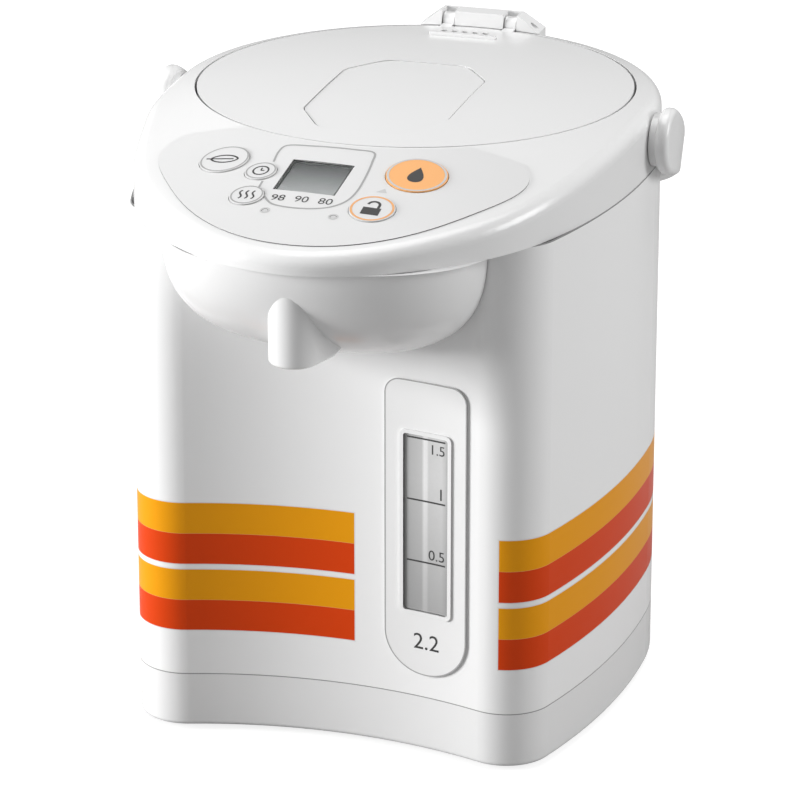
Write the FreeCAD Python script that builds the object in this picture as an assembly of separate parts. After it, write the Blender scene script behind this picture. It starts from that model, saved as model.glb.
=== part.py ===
import FreeCAD, Part
import math
import os

from FreeCAD import Vector

# Electric thermo pot of 2.2 litres: a vacuum vessel in a printed steel casing with a
# concave front, a plastic collar whose nose overhangs the cup space, a hinged round lid
# with a press lever, a bail handle, a pump under the vessel and a swivel foot.
# Millimetres, +Z up, front towards -Y. Shapes are drawn round the vessel axis and
# are moved by AXIS_Y when they are written, so that the whole stands centred on the origin.

# Clearances
RUNNING_GAP = 0.3
SEAT_GAP = 0.2
PIN_GAP = 0.05
SKIN_GAP = 0.05

# Casing plan: back circle, two corner fillets, bulging sides, concave front
BODY_RADIUS = 103.0
CORNER_X = BODY_RADIUS - 33.6
CORNER_Y = 5.6 - BODY_RADIUS
CORNER_RADIUS = 20.3
SIDE_RADIUS = 320.0
FRONT_MID_Y = -3.3 - BODY_RADIUS
CASING_WALL = 0.8

# Heights of the main seams
BASE_BOTTOM = 2.0
BASE_TOP = 25.4
CASING_TOP = 226.0
COLLAR_HEIGHT = 28.0
LID_SEAM_Z = CASING_TOP + COLLAR_HEIGHT

# Collar
NOSE_OVERHANG = 72.6
NOSE_REACH = BODY_RADIUS + NOSE_OVERHANG
TOP_SLOPE = 0.25
COLLAR_WALL = 2.6
RIM_ROUND = 6.5
RIM_WIDTH = 10.6
OPENING_RADIUS = BODY_RADIUS - RIM_WIDTH
OPENING_WALL = 2.2
OPENING_DEPTH = 15.5
LEDGE_TOP = LID_SEAM_Z - OPENING_DEPTH
LEDGE_THICKNESS = 2.5

# Base
BASE_WALL = 2.4
BASE_FLOOR_Z = 4.6
BASE_FLOOR_THICKNESS = 2.2
BASE_EDGE_ROUND = 2.0

# Swivel foot
FOOT_OUTER_RADIUS = 70.0
FOOT_INNER_RADIUS = 54.0
FOOT_HUB_RADIUS = 13.0
FOOT_SPOKE_WIDTH = 10.0
FOOT_THICKNESS = 2.4
PAD_RADIUS = 6.0
PAD_THICKNESS = 1.6
PAD_COUNT = 6
SPINDLE_RADIUS = 9.0

# Vacuum vessel
VESSEL_INSET = 26.0
VESSEL_RADIUS = BODY_RADIUS - VESSEL_INSET
VESSEL_WALL = 0.6
VACUUM_GAP = 8.0
VESSEL_FLOOR_Z = 60.0
PACKING_HEIGHT = 6.3
VESSEL_TOP_Z = LEDGE_TOP - SEAT_GAP - PACKING_HEIGHT
VESSEL_SHOULDER_Z = VESSEL_TOP_Z - 10.0
MOUTH_RADIUS = VESSEL_RADIUS - 5.0
VESSEL_CORNER = 12.0
JACKET_BOTTOM_OPENING = VESSEL_RADIUS - 19.0

# Mouth packing
MOUTH_RING_INNER = MOUTH_RADIUS - 1.5
MOUTH_RING_OUTER = MOUTH_RING_INNER + 5.2
LEDGE_INNER_RADIUS = MOUTH_RING_OUTER + RUNNING_GAP

# Lid
LID_SIDE_GAP = 1.0
LID_RADIUS = OPENING_RADIUS - LID_SIDE_GAP
LID_CROWN = 4.5
LID_WALL = 2.2
LID_FLANGE_HEIGHT = 2.6
LID_COVER_BOTTOM = LID_SEAM_Z - 11.0
LID_FLANGE_BOTTOM = LID_COVER_BOTTOM - LID_FLANGE_HEIGHT
LID_FLANGE_RADIUS = LID_RADIUS - 1.9
PLUG_TOP_RADIUS = MOUTH_RING_INNER - 3.5
PLUG_BOTTOM_RADIUS = PLUG_TOP_RADIUS - 6.0
PLUG_DEPTH = 16.4
PLUG_BOTTOM_Z = LID_FLANGE_BOTTOM - PLUG_DEPTH
PLUG_WALL = 1.8

# Lid lever
LEVER_FRONT_MARGIN = 15.4
LEVER_FRONT_Y = LEVER_FRONT_MARGIN - LID_RADIUS
LEVER_REAR_Y = 17.0
LEVER_HALF_WIDTH = 30.5
LEVER_END_HALF_WIDTH = 17.5
LEVER_TAPER = 20.0
LEVER_SIDE_FRONT_Y = LEVER_FRONT_Y + LEVER_TAPER
LEVER_SIDE_REAR_Y = LEVER_REAR_Y - LEVER_TAPER + 2.0
LEVER_CORNER = 9.0
LEVER_THICKNESS = 2.4
LEVER_SINK = 0.3
LEVER_PIN_RADIUS = 1.5
LEVER_BARREL_LENGTH = 28.0
LEVER_PIN_LENGTH = 47.0
LEVER_PIN_Z = LID_SEAM_Z - 2.4
LEVER_PIN_INSET = 5.0
LEVER_GAP = 0.5
POCKET_DEPTH = 6.4
POCKET_FLOOR_Z = LID_SEAM_Z - POCKET_DEPTH
POCKET_FLOOR_THICKNESS = 1.4
PRONG_X = 13.0
PRONG_SIZE = 4.0
PRONG_Y = LEVER_FRONT_Y + 6.0
PRONG_BOTTOM_Z = POCKET_FLOOR_Z + 0.6

# Lid latch
LATCH_HALF_WIDTH = 9.0
LATCH_THICKNESS = 2.6
LATCH_BOTTOM_Z = LID_COVER_BOTTOM + RUNNING_GAP
LATCH_NOSE_GAP = 0.5
LATCH_LENGTH = 24.0
CATCH_HALF_WIDTH = 12.0
CATCH_HEIGHT = 6.0
CATCH_THICKNESS = 1.8

# Hinge at the rear
HINGE_Y = BODY_RADIUS - 5.0
HINGE_Z = LID_SEAM_Z + 1.0
HINGE_PIN_RADIUS = 1.5
HINGE_PIN_LENGTH = 44.0
EAR_X = 14.0
EAR_WIDTH = 5.0
EAR_RADIUS = 3.6
HINGE_COVER_BOTTOM_HALF = 27.0
HINGE_COVER_TOP_HALF = 18.0
HINGE_COVER_TOP_Z = HINGE_Z + 5.0
HINGE_COVER_FRONT_Y = HINGE_Y - 4.8
HINGE_COVER_REAR_Y = HINGE_Y + 8.0

# Steam vent in the lid
VENT_Y = LID_RADIUS - 19.4
VENT_HALF_WIDTH = 15.0
VENT_DEPTH = 15.0
VENT_RISE = 1.6
VENT_SLOTS = 5
VENT_SLOT_PITCH = 4.6
VENT_SLOT_WIDTH = 2.6

# Control panel
PANEL_THICKNESS = 0.4
PANEL_TOP_CLEAR = 1.6
BUTTON_PROUD = 0.5
BUTTON_TRAVEL = 0.8
BUTTON_DEPTH = 3.6
BUTTON_FLANGE = 1.1
BUTTON_FLANGE_THICKNESS = 0.8
WELL_DEPTH = 3.2
BUTTON_REACH = WELL_DEPTH + 0.3 + BUTTON_FLANGE_THICKNESS
BUTTONS = {
    "button_dispense": (34.2, -108.8, 12.4),
    "button_unlock": (24.6, -136.8, 9.2),
    "button_energy_saver": (-46.3, -108.3, 10.2),
    "button_timer": (-28.0, -116.9, 6.5),
    "button_keep_warm": (-27.6, -135.2, 7.0),
}
DISPLAY_X = -5.3
DISPLAY_Y = -118.5
DISPLAY_WIDTH = 25.6
DISPLAY_DEPTH = 23.0
DISPLAY_SINK = 1.2
LAMP_RADIUS = 1.2
LAMPS = ((-16.7, -144.9), (11.4, -145.2))
LAMP_LENGTH = 5.0
BOARD_THICKNESS = 1.6
BOARD_DROP = 9.6
BOARD_Y = -116.0
BOARD_WIDTH = 100.0
BOARD_DEPTH = 38.0
BOARD_POSTS = ((12.0, -100.0), (-44.0, -128.0), (44.0, -127.0))
SWITCH_SIZE = 6.0

# Spout
BOWL_SIDE_MARGIN = 29.0
BOWL_NOSE_MARGIN = 3.4
BOWL_TOP_HALF = BODY_RADIUS - BOWL_SIDE_MARGIN
BOWL_TOP_REACH = NOSE_REACH + FRONT_MID_Y - BOWL_NOSE_MARGIN
BOWL_DEPTH = 36.0
BOWL_BOTTOM_Z = CASING_TOP - BOWL_DEPTH
BOWL_BOTTOM_HALF = BOWL_TOP_HALF - 46.0
BOWL_BOTTOM_REACH = BOWL_TOP_REACH - 34.0
BOWL_FULLNESS = 2.4
BOWL_WALL = 2.0
NOZZLE_Y = 15.6 - NOSE_REACH
NOZZLE_BOTTOM_Z = BOWL_BOTTOM_Z - 5.0
SHROUD_RADIUS = 10.2
SHROUD_FLARE_HALF = 18.0
SHROUD_LENGTH = 24.0
SHROUD_EDGE_ROUND = 2.0
SHROUD_TOP_Z = CASING_TOP - 10.0
NOZZLE_RADIUS = 8.0
NOZZLE_BORE_RADIUS = 4.5
NOZZLE_TOP_Z = SHROUD_TOP_Z + 1.0

# Water level gauge
GAUGE_X = 38.9
GAUGE_HALF_WIDTH = 18.2
GAUGE_BOTTOM_Z = 36.0
GAUGE_TOP_Z = 163.5
GAUGE_THICKNESS = 1.0
GAUGE_WINDOW_HALF_WIDTH = 10.0
GAUGE_WINDOW_BOTTOM_Z = 64.0
GAUGE_WINDOW_TOP_Z = 141.0
GAUGE_TUBE_RADIUS = 5.0
GAUGE_TUBE_WALL = 1.2
GAUGE_TUBE_Y = FRONT_MID_Y + 8.8
GAUGE_TUBE_BOTTOM_Z = 56.0
GAUGE_TUBE_TOP_Z = CASING_TOP - 20.0

# Pump under the vessel
PUMP_X = -14.0
PUMP_Y = -18.0
MOTOR_RADIUS = 17.0
MOTOR_HEIGHT = 21.0
MOTOR_BOTTOM_Z = 9.0
PUMP_RADIUS = 25.0
PUMP_WALL = 2.0
PUMP_BOTTOM_Z = 35.4
PUMP_HEIGHT = 13.0
SHAFT_RADIUS = 1.5
MAGNET_RADIUS = 13.0
MAGNET_THICKNESS = 3.6
IMPELLER_RADIUS = 14.0
IMPELLER_HUB_RADIUS = 4.0
IMPELLER_DISC = 1.6
IMPELLER_BLADES = 6
BLADE_THICKNESS = 1.4
BLADE_HEIGHT = 4.6
SUCTION_RADIUS = 6.0
PIPE_RADIUS = 4.5
PIPE_WALL = 1.2

# Handle
PIVOT_Z = LID_SEAM_Z - 15.0
EAR_DISC_RADIUS = 13.5
EAR_TAPER_LENGTH = 46.0
BAIL_SIDE_GAP = 3.0
BAIL_REAR_GAP = 16.5
BAIL_INNER_HALF = BODY_RADIUS + BAIL_SIDE_GAP
BAIL_INNER_REACH = BODY_RADIUS + BAIL_REAR_GAP
BAIL_THICKNESS = 6.0
BAIL_HEIGHT = 17.0
BAIL_ROUND = 2.4
BAIL_STORED_ANGLE = 25.0
HANDLE_PIN_RADIUS = 4.0
HANDLE_PIN_INSET = 6.0
HANDLE_PIN_INNER_X = BODY_RADIUS - HANDLE_PIN_INSET
HANDLE_PIN_CAP = 3.4

# Mains inlet
INLET_Z = 46.0
INLET_HALF_WIDTH = 13.0
INLET_HEIGHT = 20.0
INLET_DEPTH = 14.0
INLET_RECESS = 7.0
PIN_SPACING = 9.0
PIN_RADIUS = 1.8

# Electronics and heater
HEATER_OUTER_RADIUS = 50.0
HEATER_INNER_RADIUS = 34.0
HEATER_THICKNESS = 3.0
POWER_BOARD_SIZE = (52.0, 34.0)
POWER_BOARD_X = 30.0
POWER_BOARD_Y = 30.0
SUPPORT_OUTER = VESSEL_RADIUS + 7.0
SUPPORT_INNER = JACKET_BOTTOM_OPENING + 4.0
SUPPORT_THICKNESS = 2.5
POST_RADIUS = 4.0
OUTLET_RADIUS = 3.5
OUTLET_HIGH_Z = CASING_TOP + 5.0
OUTLET_LOW_Z = CASING_TOP - 0.4

SCREW_HEAD_RADIUS = 3.2
SCREW_SHANK_RADIUS = 1.6
SCREW_LENGTH = 9.0
SCREW_HEAD = 2.0
SCREW_CIRCLE = VESSEL_RADIUS + 1.0
SCREW_ANGLES = (35, 145, 215, 325)

# the vessel axis stands so far behind the origin that nose and stored bail reach alike
STORED_SLOPE = math.radians(BAIL_STORED_ANGLE)
REAR_REACH = (BAIL_INNER_REACH + BAIL_THICKNESS - BAIL_ROUND) * math.cos(STORED_SLOPE)
REAR_REACH = REAR_REACH + (BAIL_HEIGHT / 2 - BAIL_ROUND) * math.sin(STORED_SLOPE) + BAIL_ROUND
AXIS_Y = (NOSE_REACH - REAR_REACH) / 2

UP = Vector(0, 0, 1)
ORIGIN = Vector(0, 0, 0)


def save(name, *solids):
    """Write one node, moved from the vessel axis to the part's own frame."""
    shape = solids[0] if len(solids) == 1 else Part.makeCompound(list(solids))
    shape = shape.copy()
    shape.translate(Vector(0, AXIS_Y, 0))
    shape.exportStep("parts/" + name + ".step")


def arc(start, middle, end):
    return Part.Arc(start, middle, end).toShape()


def tube(outer, inner, bottom, height, x=0.0, y=0.0):
    """Straight ring or pipe along Z."""
    base = Vector(x, y, bottom)
    return Part.makeCylinder(outer, height, base).cut(Part.makeCylinder(inner, height, base))


def box(x_size, y_size, z_size, x, y, bottom):
    """Block centred on x and y, standing on bottom."""
    return Part.makeBox(x_size, y_size, z_size, Vector(x - x_size / 2, y - y_size / 2, bottom))


def revolve(points, x=0.0, y=0.0):
    """Turn a closed profile of (radius, z) points round the Z axis through x, y."""
    corners = [Vector(radius, 0, z) for radius, z in points]
    face = Part.Face(Part.makePolygon(corners + corners[:1]))
    solid = face.revolve(ORIGIN, UP, 360)
    solid.translate(Vector(x, y, 0))
    return solid


def prism(wire, bottom, top):
    """Extrude a flat wire drawn at z = 0 between two heights."""
    solid = Part.Face(wire).extrude(Vector(0, 0, top - bottom))
    solid.translate(Vector(0, 0, bottom))
    return solid


def unit(x, y):
    length = math.hypot(x, y)
    return x / length, y / length


def body_outline(inset=0.0):
    """Casing plan of tangent arcs: round back, bulging sides, corners, concave front."""
    back = BODY_RADIUS - inset
    corner = CORNER_RADIUS - inset
    side = SIDE_RADIUS - inset
    # centre of the right side's arc, tangent inside to the back circle and the corner
    span = math.hypot(CORNER_X, CORNER_Y)
    to_back = SIDE_RADIUS - BODY_RADIUS
    to_corner = SIDE_RADIUS - CORNER_RADIUS
    along = (to_back ** 2 - to_corner ** 2 + span ** 2) / (2 * span)
    across = math.sqrt(to_back ** 2 - along ** 2)
    dir_x, dir_y = unit(CORNER_X, CORNER_Y)
    side_x = along * dir_x + across * dir_y
    side_y = along * dir_y - across * dir_x
    # front arc, tangent outside to both corners
    rise = CORNER_Y - FRONT_MID_Y
    front = (CORNER_X ** 2 + rise ** 2 - CORNER_RADIUS ** 2) / (2 * (CORNER_RADIUS - rise))
    front_y = FRONT_MID_Y - front
    a_x, a_y = unit(-side_x, -side_y)
    b_x, b_y = unit(CORNER_X - side_x, CORNER_Y - side_y)
    c_x, c_y = unit(-CORNER_X, front_y - CORNER_Y)
    m_x, m_y = unit(a_x + b_x, a_y + b_y)
    n_x, n_y = unit(b_x + c_x, b_y + c_y)
    back_end = Vector(back * a_x, back * a_y, 0)
    side_mid = Vector(side_x + side * m_x, side_y + side * m_y, 0)
    side_end = Vector(CORNER_X + corner * b_x, CORNER_Y + corner * b_y, 0)
    corner_mid = Vector(CORNER_X + corner * n_x, CORNER_Y + corner * n_y, 0)
    front_end = Vector(CORNER_X + corner * c_x, CORNER_Y + corner * c_y, 0)
    front_mid = Vector(0, FRONT_MID_Y + inset, 0)

    def mirrored(point):
        return Vector(-point.x, point.y, 0)

    edges = [
        arc(mirrored(back_end), Vector(0, back, 0), back_end),
        arc(back_end, side_mid, side_end),
        arc(side_end, corner_mid, front_end),
        arc(front_end, front_mid, mirrored(front_end)),
        arc(mirrored(front_end), mirrored(corner_mid), mirrored(side_end)),
        arc(mirrored(side_end), mirrored(side_mid), mirrored(back_end)),
    ]
    return Part.Wire(edges)


def collar_outline(inset=0.0):
    """Collar plan: round back and a nose curve through a few points."""
    half = [(0.955, 0.353), (0.872, 0.547), (0.752, 0.706), (0.553, 0.849), (0.291, 0.958)]
    nose = [Vector(BODY_RADIUS * x, -NOSE_REACH * y, 0) for x, y in half]
    nose = [Vector(BODY_RADIUS, 0, 0)] + nose + [Vector(0, -NOSE_REACH, 0)]
    nose = nose + [Vector(-point.x, point.y, 0) for point in nose[-2::-1]]
    nose = [point - Vector(point).normalize() * inset for point in nose]
    curve = Part.BSplineCurve()
    curve.interpolate(Points=nose, InitialTangent=Vector(0, -1, 0), FinalTangent=Vector(0, 1, 0))
    back = arc(nose[-1], Vector(0, BODY_RADIUS - inset, 0), nose[0])
    return Part.Wire([curve.toShape(), back])


def top_cone(lift=0.0):
    """Everything below the collar's sloping top surface, which falls away from the lid."""
    reach = NOSE_REACH + 20
    seam = LID_SEAM_Z + lift
    edge = seam - TOP_SLOPE * (reach - OPENING_RADIUS)
    peak = seam + TOP_SLOPE * OPENING_RADIUS
    return revolve([(0, 0), (reach, 0), (reach, edge), (0, peak)])


def collar_block(inset, drop, rounding):
    """Collar as a solid lump, with its rim rounded."""
    block = prism(collar_outline(inset), CASING_TOP, LID_SEAM_Z + 30).common(top_cone(-drop))
    rim = [edge for edge in block.Edges if edge.BoundBox.ZMin > CASING_TOP + 1 and edge.Length > 50]
    rim = [edge for edge in rim if edge.BoundBox.XLength > BODY_RADIUS]
    return block.makeFillet(rounding, rim)


def top_z(x, y, lift=0.0):
    return LID_SEAM_Z + lift - TOP_SLOPE * (math.hypot(x, y) - OPENING_RADIUS)


def slanted(shape, x, y, z):
    """Stand a shape drawn along Z square to the collar's slope at a place."""
    shape = shape.copy()
    shape.rotate(ORIGIN, Vector(1, 0, 0), math.degrees(math.atan(TOP_SLOPE)))
    shape.rotate(ORIGIN, UP, math.degrees(math.atan2(x, -y)))
    shape.translate(Vector(x, y, z))
    return shape


def slanted_cylinder(x, y, radius, above, below):
    cylinder = Part.makeCylinder(radius, above + below, Vector(0, 0, -below))
    return slanted(cylinder, x, y, top_z(x, y))


def display_block(grow, above, below):
    """Block through the display's place, square to the panel."""
    block = box(DISPLAY_WIDTH + 2 * grow, DISPLAY_DEPTH + 2 * grow, above + below, 0, 0, -below)
    return slanted(block, DISPLAY_X, DISPLAY_Y, top_z(DISPLAY_X, DISPLAY_Y))


def panel_holes():
    """Button wells, display opening and lamp holes through the collar and the overlay."""
    tools = [slanted_cylinder(x, y, radius + RUNNING_GAP, 6, WELL_DEPTH) for x, y, radius in BUTTONS.values()]
    tools += [slanted_cylinder(x, y, LAMP_RADIUS + SEAT_GAP, 6, 6) for x, y in LAMPS]
    tools.append(display_block(SEAT_GAP, 6, 5))
    return tools


def pivot_hole(radius):
    return Part.makeCylinder(radius, 2 * BODY_RADIUS + 20, Vector(-BODY_RADIUS - 10, 0, PIVOT_Z), Vector(1, 0, 0))


def catch_block(grow=0.0):
    """Striker plate let into the opening's front wall before the latch."""
    return box(2 * CATCH_HALF_WIDTH + 2 * grow, CATCH_THICKNESS + 2 * grow, CATCH_HEIGHT + 2 * grow,
               0, -OPENING_RADIUS - CATCH_THICKNESS / 2 - SEAT_GAP, LATCH_BOTTOM_Z - 1 - grow)


def make_collar():
    """Hollow collar with the lid opening, a ledge for the mouth packing and the panel holes."""
    collar = collar_block(0, 0, RIM_ROUND)
    hollow = collar_block(COLLAR_WALL, COLLAR_WALL, RIM_ROUND - COLLAR_WALL)
    wall_radius = OPENING_RADIUS + OPENING_WALL
    keep = tube(wall_radius, OPENING_RADIUS, LEDGE_TOP - LEDGE_THICKNESS, 40)
    ledge = tube(wall_radius, LEDGE_INNER_RADIUS, LEDGE_TOP - LEDGE_THICKNESS, LEDGE_THICKNESS)
    collar = collar.cut(hollow.cut(keep.fuse(ledge)))
    collar = collar.cut(Part.makeCylinder(OPENING_RADIUS, 40, Vector(0, 0, LEDGE_TOP)))
    collar = collar.cut(Part.makeCylinder(LEDGE_INNER_RADIUS, 40, Vector(0, 0, CASING_TOP)))
    for side in (-1, 1):
        notch = box(EAR_WIDTH + 2.4, 14, 20, side * EAR_X, HINGE_Y - 2, HINGE_Z - 6.5)
        collar = collar.cut(notch)
    collar = collar.cut(pivot_hole(HANDLE_PIN_RADIUS + PIN_GAP))
    collar = collar.cut(catch_block(SEAT_GAP))
    return collar.cut(panel_holes())


def panel_wire():
    """Overlay outline: two side lobes, the lid's edge at the back and a wide front curve."""
    back = OPENING_RADIUS + PANEL_TOP_CLEAR
    half = [(20.0, -164.0), (45.0, -149.0), (65.5, -124.0), (76.5, -97.0), (71.0, -84.5)]
    points = [Vector(-x, y, 0) for x, y in half[::-1]] + [Vector(x, y, 0) for x, y in half]
    front = Part.BSplineCurve()
    front.interpolate(Points=points)
    shoulder_x = 48.0
    shoulder = Vector(shoulder_x, -math.sqrt(back ** 2 - shoulder_x ** 2), 0)
    other = Vector(-shoulder.x, shoulder.y, 0)
    edges = [
        front.toShape(),
        Part.makeLine(points[-1], shoulder),
        arc(shoulder, Vector(0, -back, 0), other),
        Part.makeLine(other, points[0]),
    ]
    return Part.Wire(edges)


def make_panel():
    """Thin printed overlay that lies on the collar's slope."""
    skin = top_cone(PANEL_THICKNESS).cut(top_cone(SKIN_GAP))
    skin = skin.common(prism(panel_wire(), CASING_TOP, LID_SEAM_Z + 10))
    return skin.cut(panel_holes())


def make_button(x, y, radius):
    """Domeless cap with a hidden flange that keeps it in its well."""
    cap = slanted_cylinder(x, y, radius, 6, BUTTON_DEPTH).common(top_cone(PANEL_THICKNESS + BUTTON_PROUD))
    flange_top = BUTTON_REACH - BUTTON_FLANGE_THICKNESS
    flange = Part.makeCylinder(radius + BUTTON_FLANGE, BUTTON_FLANGE_THICKNESS,
                               Vector(0, 0, -flange_top - BUTTON_FLANGE_THICKNESS))
    stem = Part.makeCylinder(radius - 1, BUTTON_FLANGE_THICKNESS + flange_top - 1,
                             Vector(0, 0, -flange_top - BUTTON_FLANGE_THICKNESS))
    return cap.fuse(slanted(flange.fuse(stem), x, y, top_z(x, y))).removeSplitter()


def make_display():
    """Liquid crystal module and the clear window over it."""
    window = display_block(0, 0, DISPLAY_SINK).common(top_cone(0.2))
    module = display_block(-1.0, -DISPLAY_SINK - SEAT_GAP, 5.0)
    return window, module


def bowl_section(half, reach, z):
    """Half ellipse in front of the casing, closed by a straight back."""
    back_y = FRONT_MID_Y + 4
    depth = reach + 4
    points = []
    for step in range(7):
        angle = math.pi * step / 6
        points.append(Vector(half * math.cos(angle), back_y - depth * math.sin(angle), z))
    curve = Part.BSplineCurve()
    curve.interpolate(Points=points, InitialTangent=Vector(0, -1, 0), FinalTangent=Vector(0, 1, 0))
    return Part.Wire([curve.toShape(), Part.makeLine(points[-1], points[0])])


def bowl_block(shrink, floor):
    """Basin under the nose, full at the sides and rounded into a small flat floor."""
    sections = []
    for depth in (0.0, 0.35, 0.7, 0.9, 1.0):
        share = 1 - depth ** BOWL_FULLNESS
        half = BOWL_BOTTOM_HALF + share * (BOWL_TOP_HALF - BOWL_BOTTOM_HALF)
        reach = BOWL_BOTTOM_REACH + share * (BOWL_TOP_REACH - BOWL_BOTTOM_REACH)
        z = CASING_TOP - depth * (CASING_TOP - floor)
        sections.append(bowl_section(half - shrink, reach - shrink, z))
    return Part.makeLoft(sections, True)


def make_shroud():
    """Nozzle body: round at the front, its sides flaring back under the basin."""
    length = math.hypot(SHROUD_FLARE_HALF, SHROUD_LENGTH)
    turn = math.atan2(SHROUD_LENGTH, SHROUD_FLARE_HALF) - math.acos(SHROUD_RADIUS / length)
    x, y = SHROUD_RADIUS * math.cos(turn), SHROUD_RADIUS * math.sin(turn)
    corners = [Vector(x, y, 0), Vector(SHROUD_FLARE_HALF, SHROUD_LENGTH, 0),
               Vector(-SHROUD_FLARE_HALF, SHROUD_LENGTH, 0), Vector(-x, y, 0)]
    front = arc(corners[3], Vector(0, -SHROUD_RADIUS, 0), corners[0])
    block = prism(Part.Wire([front, Part.makePolygon(corners)]), NOZZLE_BOTTOM_Z, SHROUD_TOP_Z)
    rise = BOWL_BOTTOM_Z - NOZZLE_BOTTOM_Z + 1
    slope = Part.makePolygon([Vector(0, SHROUD_RADIUS, NOZZLE_BOTTOM_Z - 1), Vector(0, SHROUD_RADIUS, NOZZLE_BOTTOM_Z),
                              Vector(0, SHROUD_LENGTH, NOZZLE_BOTTOM_Z + rise),
                              Vector(0, SHROUD_LENGTH + 1, NOZZLE_BOTTOM_Z - 1),
                              Vector(0, SHROUD_RADIUS, NOZZLE_BOTTOM_Z - 1)])
    wedge = Part.Face(slope).extrude(Vector(2 * SHROUD_LENGTH + 20, 0, 0))
    wedge.translate(Vector(-SHROUD_LENGTH - 10, 0, 0))
    block = block.cut(wedge)
    nose = [edge for edge in block.Edges if edge.BoundBox.ZMax < NOZZLE_BOTTOM_Z + 0.1 and edge.BoundBox.YMin < -5]
    block = block.makeFillet(SHROUD_EDGE_ROUND, nose)
    block.translate(Vector(0, NOZZLE_Y, 0))
    return block


def make_spout_housing():
    """Basin and nozzle shroud in one moulding, with the rim plate that closes the nose."""
    bowl = bowl_block(0, BOWL_BOTTOM_Z)
    rim = prism(collar_outline(COLLAR_WALL + SEAT_GAP), CASING_TOP, CASING_TOP + 2)
    rim = rim.common(box(2 * BODY_RADIUS, NOSE_REACH, 10, 0, FRONT_MID_Y - NOSE_REACH / 2, CASING_TOP - 1))
    housing = bowl.fuse([make_shroud(), rim])
    hollow = bowl_block(BOWL_WALL, BOWL_BOTTOM_Z + BOWL_WALL)
    opening = prism(bowl_section(BOWL_TOP_HALF - BOWL_WALL, BOWL_TOP_REACH - BOWL_WALL, 0), CASING_TOP - 1,
                    CASING_TOP + 5)
    well = Part.makeCylinder(NOZZLE_RADIUS + SEAT_GAP, 2 * BOWL_DEPTH, Vector(0, NOZZLE_Y, NOZZLE_BOTTOM_Z - 1))
    body = prism(body_outline(-SEAT_GAP), 0, CASING_TOP)
    return housing.cut([hollow, opening, well, body])


def make_nozzle():
    """Inner nozzle with its bore, carried in the shroud."""
    height = NOZZLE_TOP_Z - NOZZLE_BOTTOM_Z
    return tube(NOZZLE_RADIUS, NOZZLE_BORE_RADIUS, NOZZLE_BOTTOM_Z, height, 0, NOZZLE_Y)


def make_casing():
    """Printed steel jacket with the gauge opening and the mains inlet opening."""
    casing = prism(body_outline(), BASE_TOP, CASING_TOP)
    casing = casing.cut(prism(body_outline(CASING_WALL), BASE_TOP, CASING_TOP))
    window = box(2 * GAUGE_WINDOW_HALF_WIDTH + 6, 40, GAUGE_WINDOW_TOP_Z - GAUGE_WINDOW_BOTTOM_Z + 6,
                 GAUGE_X, FRONT_MID_Y, GAUGE_WINDOW_BOTTOM_Z - 3)
    inlet = box(2 * INLET_HALF_WIDTH + 2 * SEAT_GAP, 40, INLET_HEIGHT + 2 * SEAT_GAP,
                0, BODY_RADIUS, INLET_Z - SEAT_GAP)
    pipe = box(30, 14, 20, 0, FRONT_MID_Y, CASING_TOP - 20)
    return casing.cut([window, inlet, pipe])


def make_base():
    """Skirt moulding with floor, spindle boss and rounded foot."""
    skirt = prism(body_outline(), BASE_BOTTOM, BASE_TOP)
    foot = [edge for edge in skirt.Edges if edge.BoundBox.ZMax < BASE_BOTTOM + 0.1]
    skirt = skirt.makeFillet(BASE_EDGE_ROUND, foot)
    above = prism(body_outline(BASE_WALL), BASE_FLOOR_Z + BASE_FLOOR_THICKNESS, BASE_TOP)
    below = prism(body_outline(BASE_WALL + 1), 0, BASE_FLOOR_Z)
    foot_top = PAD_THICKNESS + FOOT_THICKNESS
    boss_bottom = foot_top + RUNNING_GAP
    boss = Part.makeCylinder(FOOT_HUB_RADIUS, BASE_FLOOR_Z - boss_bottom, Vector(0, 0, boss_bottom))
    spindle = Part.makeCylinder(SPINDLE_RADIUS, BASE_FLOOR_Z - BASE_BOTTOM, Vector(0, 0, BASE_BOTTOM))
    base = skirt.cut(above).cut(below.cut(boss.fuse(spindle)))
    holes = [Part.makeCylinder(SCREW_SHANK_RADIUS + SEAT_GAP, 20, Vector(x, y, 0)) for x, y in screw_places()]
    return base.cut(holes)


def make_foot():
    """Swivel ring with spokes to a hub on the base's spindle, and its rubber pads."""
    bottom = PAD_THICKNESS
    rim = tube(FOOT_OUTER_RADIUS, FOOT_INNER_RADIUS, bottom, FOOT_THICKNESS)
    hub = Part.makeCylinder(FOOT_HUB_RADIUS, FOOT_THICKNESS, Vector(0, 0, bottom))
    spokes = []
    for angle in (0, 120, 240):
        spoke = box(FOOT_SPOKE_WIDTH, FOOT_INNER_RADIUS + 4, FOOT_THICKNESS, 0, (FOOT_INNER_RADIUS + 4) / 2, bottom)
        spoke.rotate(ORIGIN, UP, angle)
        spokes.append(spoke)
    bore = Part.makeCylinder(SPINDLE_RADIUS + PIN_GAP, 20, ORIGIN)
    circle = (FOOT_OUTER_RADIUS + FOOT_INNER_RADIUS) / 2
    pads = []
    for index in range(PAD_COUNT):
        angle = 2 * math.pi * index / PAD_COUNT
        place = Vector(circle * math.cos(angle), circle * math.sin(angle), 0)
        pads.append(Part.makeCylinder(PAD_RADIUS, PAD_THICKNESS, place))
    return rim.fuse([hub] + spokes).cut(bore), pads


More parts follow.
